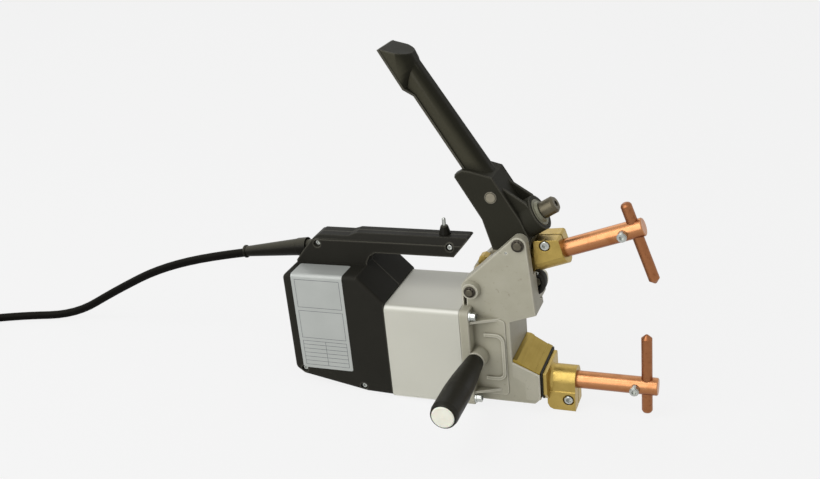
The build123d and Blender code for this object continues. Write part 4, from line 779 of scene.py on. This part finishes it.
def stand(name, form, place, finish):
    """Make a piece of a form whose foot is at the origin, and stand it at the place, towards the near
    side."""
    mesh = bpy.data.meshes.new(name)
    form.to_mesh(mesh)
    form.free()
    mesh.materials.append(finish)
    turn = (-SIDE).to_track_quat("Z", "Y").to_matrix().to_4x4()
    turn.translation = place
    mesh.transform(turn)
    return put(name, mesh)


def band(form, low, high):
    """Faces all round between two rings of the same number of points."""
    for step in range(len(low)):
        after = (step + 1) % len(low)
        form.faces.new((low[step], low[after], high[after], high[step]))


def turned(name, outline, place, body, slot, hexagon_from=99):
    """A turned part: outline is (radius, height) in mm from the rim inwards. Points from number
    hexagon_from on follow a hexagon, as a socket does."""
    form = bmesh.new()
    rings = []
    for number, (radius, height) in enumerate(outline):
        ring = []
        for step in range(SIDES):
            angle = 2 * pi * step / SIDES
            reach = radius
            if number >= hexagon_from:
                reach = radius * cos(pi / 6) / cos((angle % (pi / 3)) - pi / 6)
            corner = (reach * cos(angle) / 1000, reach * sin(angle) / 1000, height / 1000)
            ring.append(form.verts.new(corner))
        rings.append(ring)
    for low, high in zip(rings, rings[1:]):
        band(form, low, high)
    form.faces.new(rings[-1])
    piece = stand(name, form, place, FINISHES[slot])
    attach(piece, body)


TEETH = 8
TOOTH_GAP_MM, TOOTH_LIFT_MM = 0.05, 0.9        # from a tooth's tip to the pin, and how far it stands out
RIM_GAP_MM, RIM_LIFT_MM = 1.0, 0.3             # the same between the teeth


def tooth_ring(name, place, pin, outer):
    """Push-on lock washer of spring steel: a flat rim, and teeth that bite the pin, bent a little
    outwards. The radii of the pin and the rim are in mm."""
    form = bmesh.new()
    steps = TEETH * 4
    low, high = [], []
    for step in range(steps):
        angle = 2 * pi * step / steps
        biting = step % 4 in (0, 1)
        inner = pin + (TOOTH_GAP_MM if biting else RIM_GAP_MM)
        lift = TOOTH_LIFT_MM if biting else RIM_LIFT_MM
        low.append(form.verts.new((outer * cos(angle) / 1000, outer * sin(angle) / 1000, 0.0)))
        high.append(form.verts.new((inner * cos(angle) / 1000, inner * sin(angle) / 1000, lift / 1000)))
    band(form, low, high)
    piece = stand(name, form, place, FINISHES["dark_steel"])
    thick = piece.modifiers.new("sheet", "SOLIDIFY")
    thick.thickness = 0.0005
    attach(piece, "tool")


cross_pin_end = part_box("lever_cross_pin")[0].y - HOLDER_PIN.y
turned("shunt_screw", [(2.1, 0.0), (2.3, 0.3), (2.3, 1.2), (2.0, 1.5), (1.25, 1.5), (1.15, 1.4),
                       (1.1, 0.7)],
       on_tool(67.2, -9.25, 12.0), "rocker", "zinc", hexagon_from=4)
turned("cheek_screw", [(1.3, 0.0), (1.3, 4.3), (1.0, 4.7)],
       on_tool(41.5, -30.0, 45.5), "tool", "zinc")
turned("cross_pin_ring", [(6.5, 0.0), (6.5, 0.7), (6.3, 0.9), (5.9, 0.9), (5.75, 0.7), (5.75, 0.1)],
       on_tool(24.8, 0.0, 103.35) + SIDE * (cross_pin_end + 0.0013), "hand_lever", "pin_steel")
tooth_ring("lever_pin_lock_washer", on_tool(55.0, -36.6, 55.0), pin=4.5, outer=6.9)
tooth_ring("holder_pin_lock_washer", on_tool(0.0, -43.6, 0.0), pin=4.0, outer=6.4)


# ------------------------------------------------------------------------------- floor and light
PALE = linear("#f6f6f6")
FLOOR_REACH, FLOOR_LEVEL = 9.0, -0.0005
EVEN_SHARE = 0.92           # how much of the floor's own look is evenly lit, where it is seen
SKY_STRENGTH = 0.36
LAMPS_AIM = Vector((0.0, 0.05, 0.15))
LAMPS = (("front_lamp", (-0.96, -1.92, 1.11), 2.2, 32.0),       # name, place, width, watts
         ("upper_lamp", (-0.72, -0.9, 2.1), 0.9, 12.0),
         ("rear_lamp", (-1.2, 2.0, 1.6), 1.4, 5.0))


def seen_rays(tree):
    """1 for what the eye sees straight, in bright metal or through glass, and 0 for light on its way."""
    ray = add(tree, "ShaderNodeLightPath").outputs
    seen = add(tree, "ShaderNodeMath", {0: ray["Is Camera Ray"], 1: ray["Is Glossy Ray"]},
               operation="MAXIMUM")
    return add(tree, "ShaderNodeMath", {0: seen, 1: ray["Is Transmission Ray"]}, operation="MAXIMUM")


def paper_floor():
    """Matt white paper, of which the eye and bright metal see part as evenly lit. The object's shadow
    stays on it."""
    paper = bpy.data.materials.new("matt_paper")
    paper.use_nodes = True
    tree = paper.node_tree
    tree.nodes.clear()
    share = add(tree, "ShaderNodeMath", {0: seen_rays(tree), 1: EVEN_SHARE}, operation="MULTIPLY")
    lit = add(tree, "ShaderNodeBsdfDiffuse", {"Color": PALE})
    even = add(tree, "ShaderNodeEmission", {"Color": PALE, "Strength": 1.0})
    sheet = add(tree, "ShaderNodeMixShader", {0: share, 1: lit, 2: even})
    add(tree, "ShaderNodeOutputMaterial", {"Surface": sheet})
    mesh = bpy.data.meshes.new("paper_floor")
    corners = [(x * FLOOR_REACH, y * FLOOR_REACH, FLOOR_LEVEL)
               for x, y in ((-1, -1), (1, -1), (1, 1), (-1, 1))]
    mesh.from_pydata(corners, [], [(0, 1, 2, 3)])
    mesh.materials.append(paper)
    floor = put("paper_floor", mesh)


def pale_surroundings():
    """The same pale all round where it is seen, and weaker even light on the object."""
    world = bpy.data.worlds.new("pale_surroundings")
    bpy.context.scene.world = world
    world.use_nodes = True
    tree = world.node_tree
    tree.nodes.clear()
    light = add(tree, "ShaderNodeBackground", {"Color": (1.0, 1.0, 1.0, 1.0), "Strength": SKY_STRENGTH})
    backdrop = add(tree, "ShaderNodeBackground", {"Color": PALE, "Strength": 1.0})
    both = add(tree, "ShaderNodeMixShader", {0: seen_rays(tree), 1: light, 2: backdrop})
    add(tree, "ShaderNodeOutputWorld", {"Surface": both})


def plain_light():
    """A broad lamp in front, a softer one above and a weak one behind, at a level at which a colour
    renders about as it is written."""
    for name, place, width, watts in LAMPS:
        data = bpy.data.lights.new(name, "AREA")
        data.size = width
        data.energy = watts
        lamp = put(name, data)
        lamp.location = place
        lamp.rotation_euler = (LAMPS_AIM - Vector(place)).to_track_quat("-Z", "Y").to_euler()
    bpy.context.scene.view_settings.view_transform = "Standard"


paper_floor()
pale_surroundings()
plain_light()
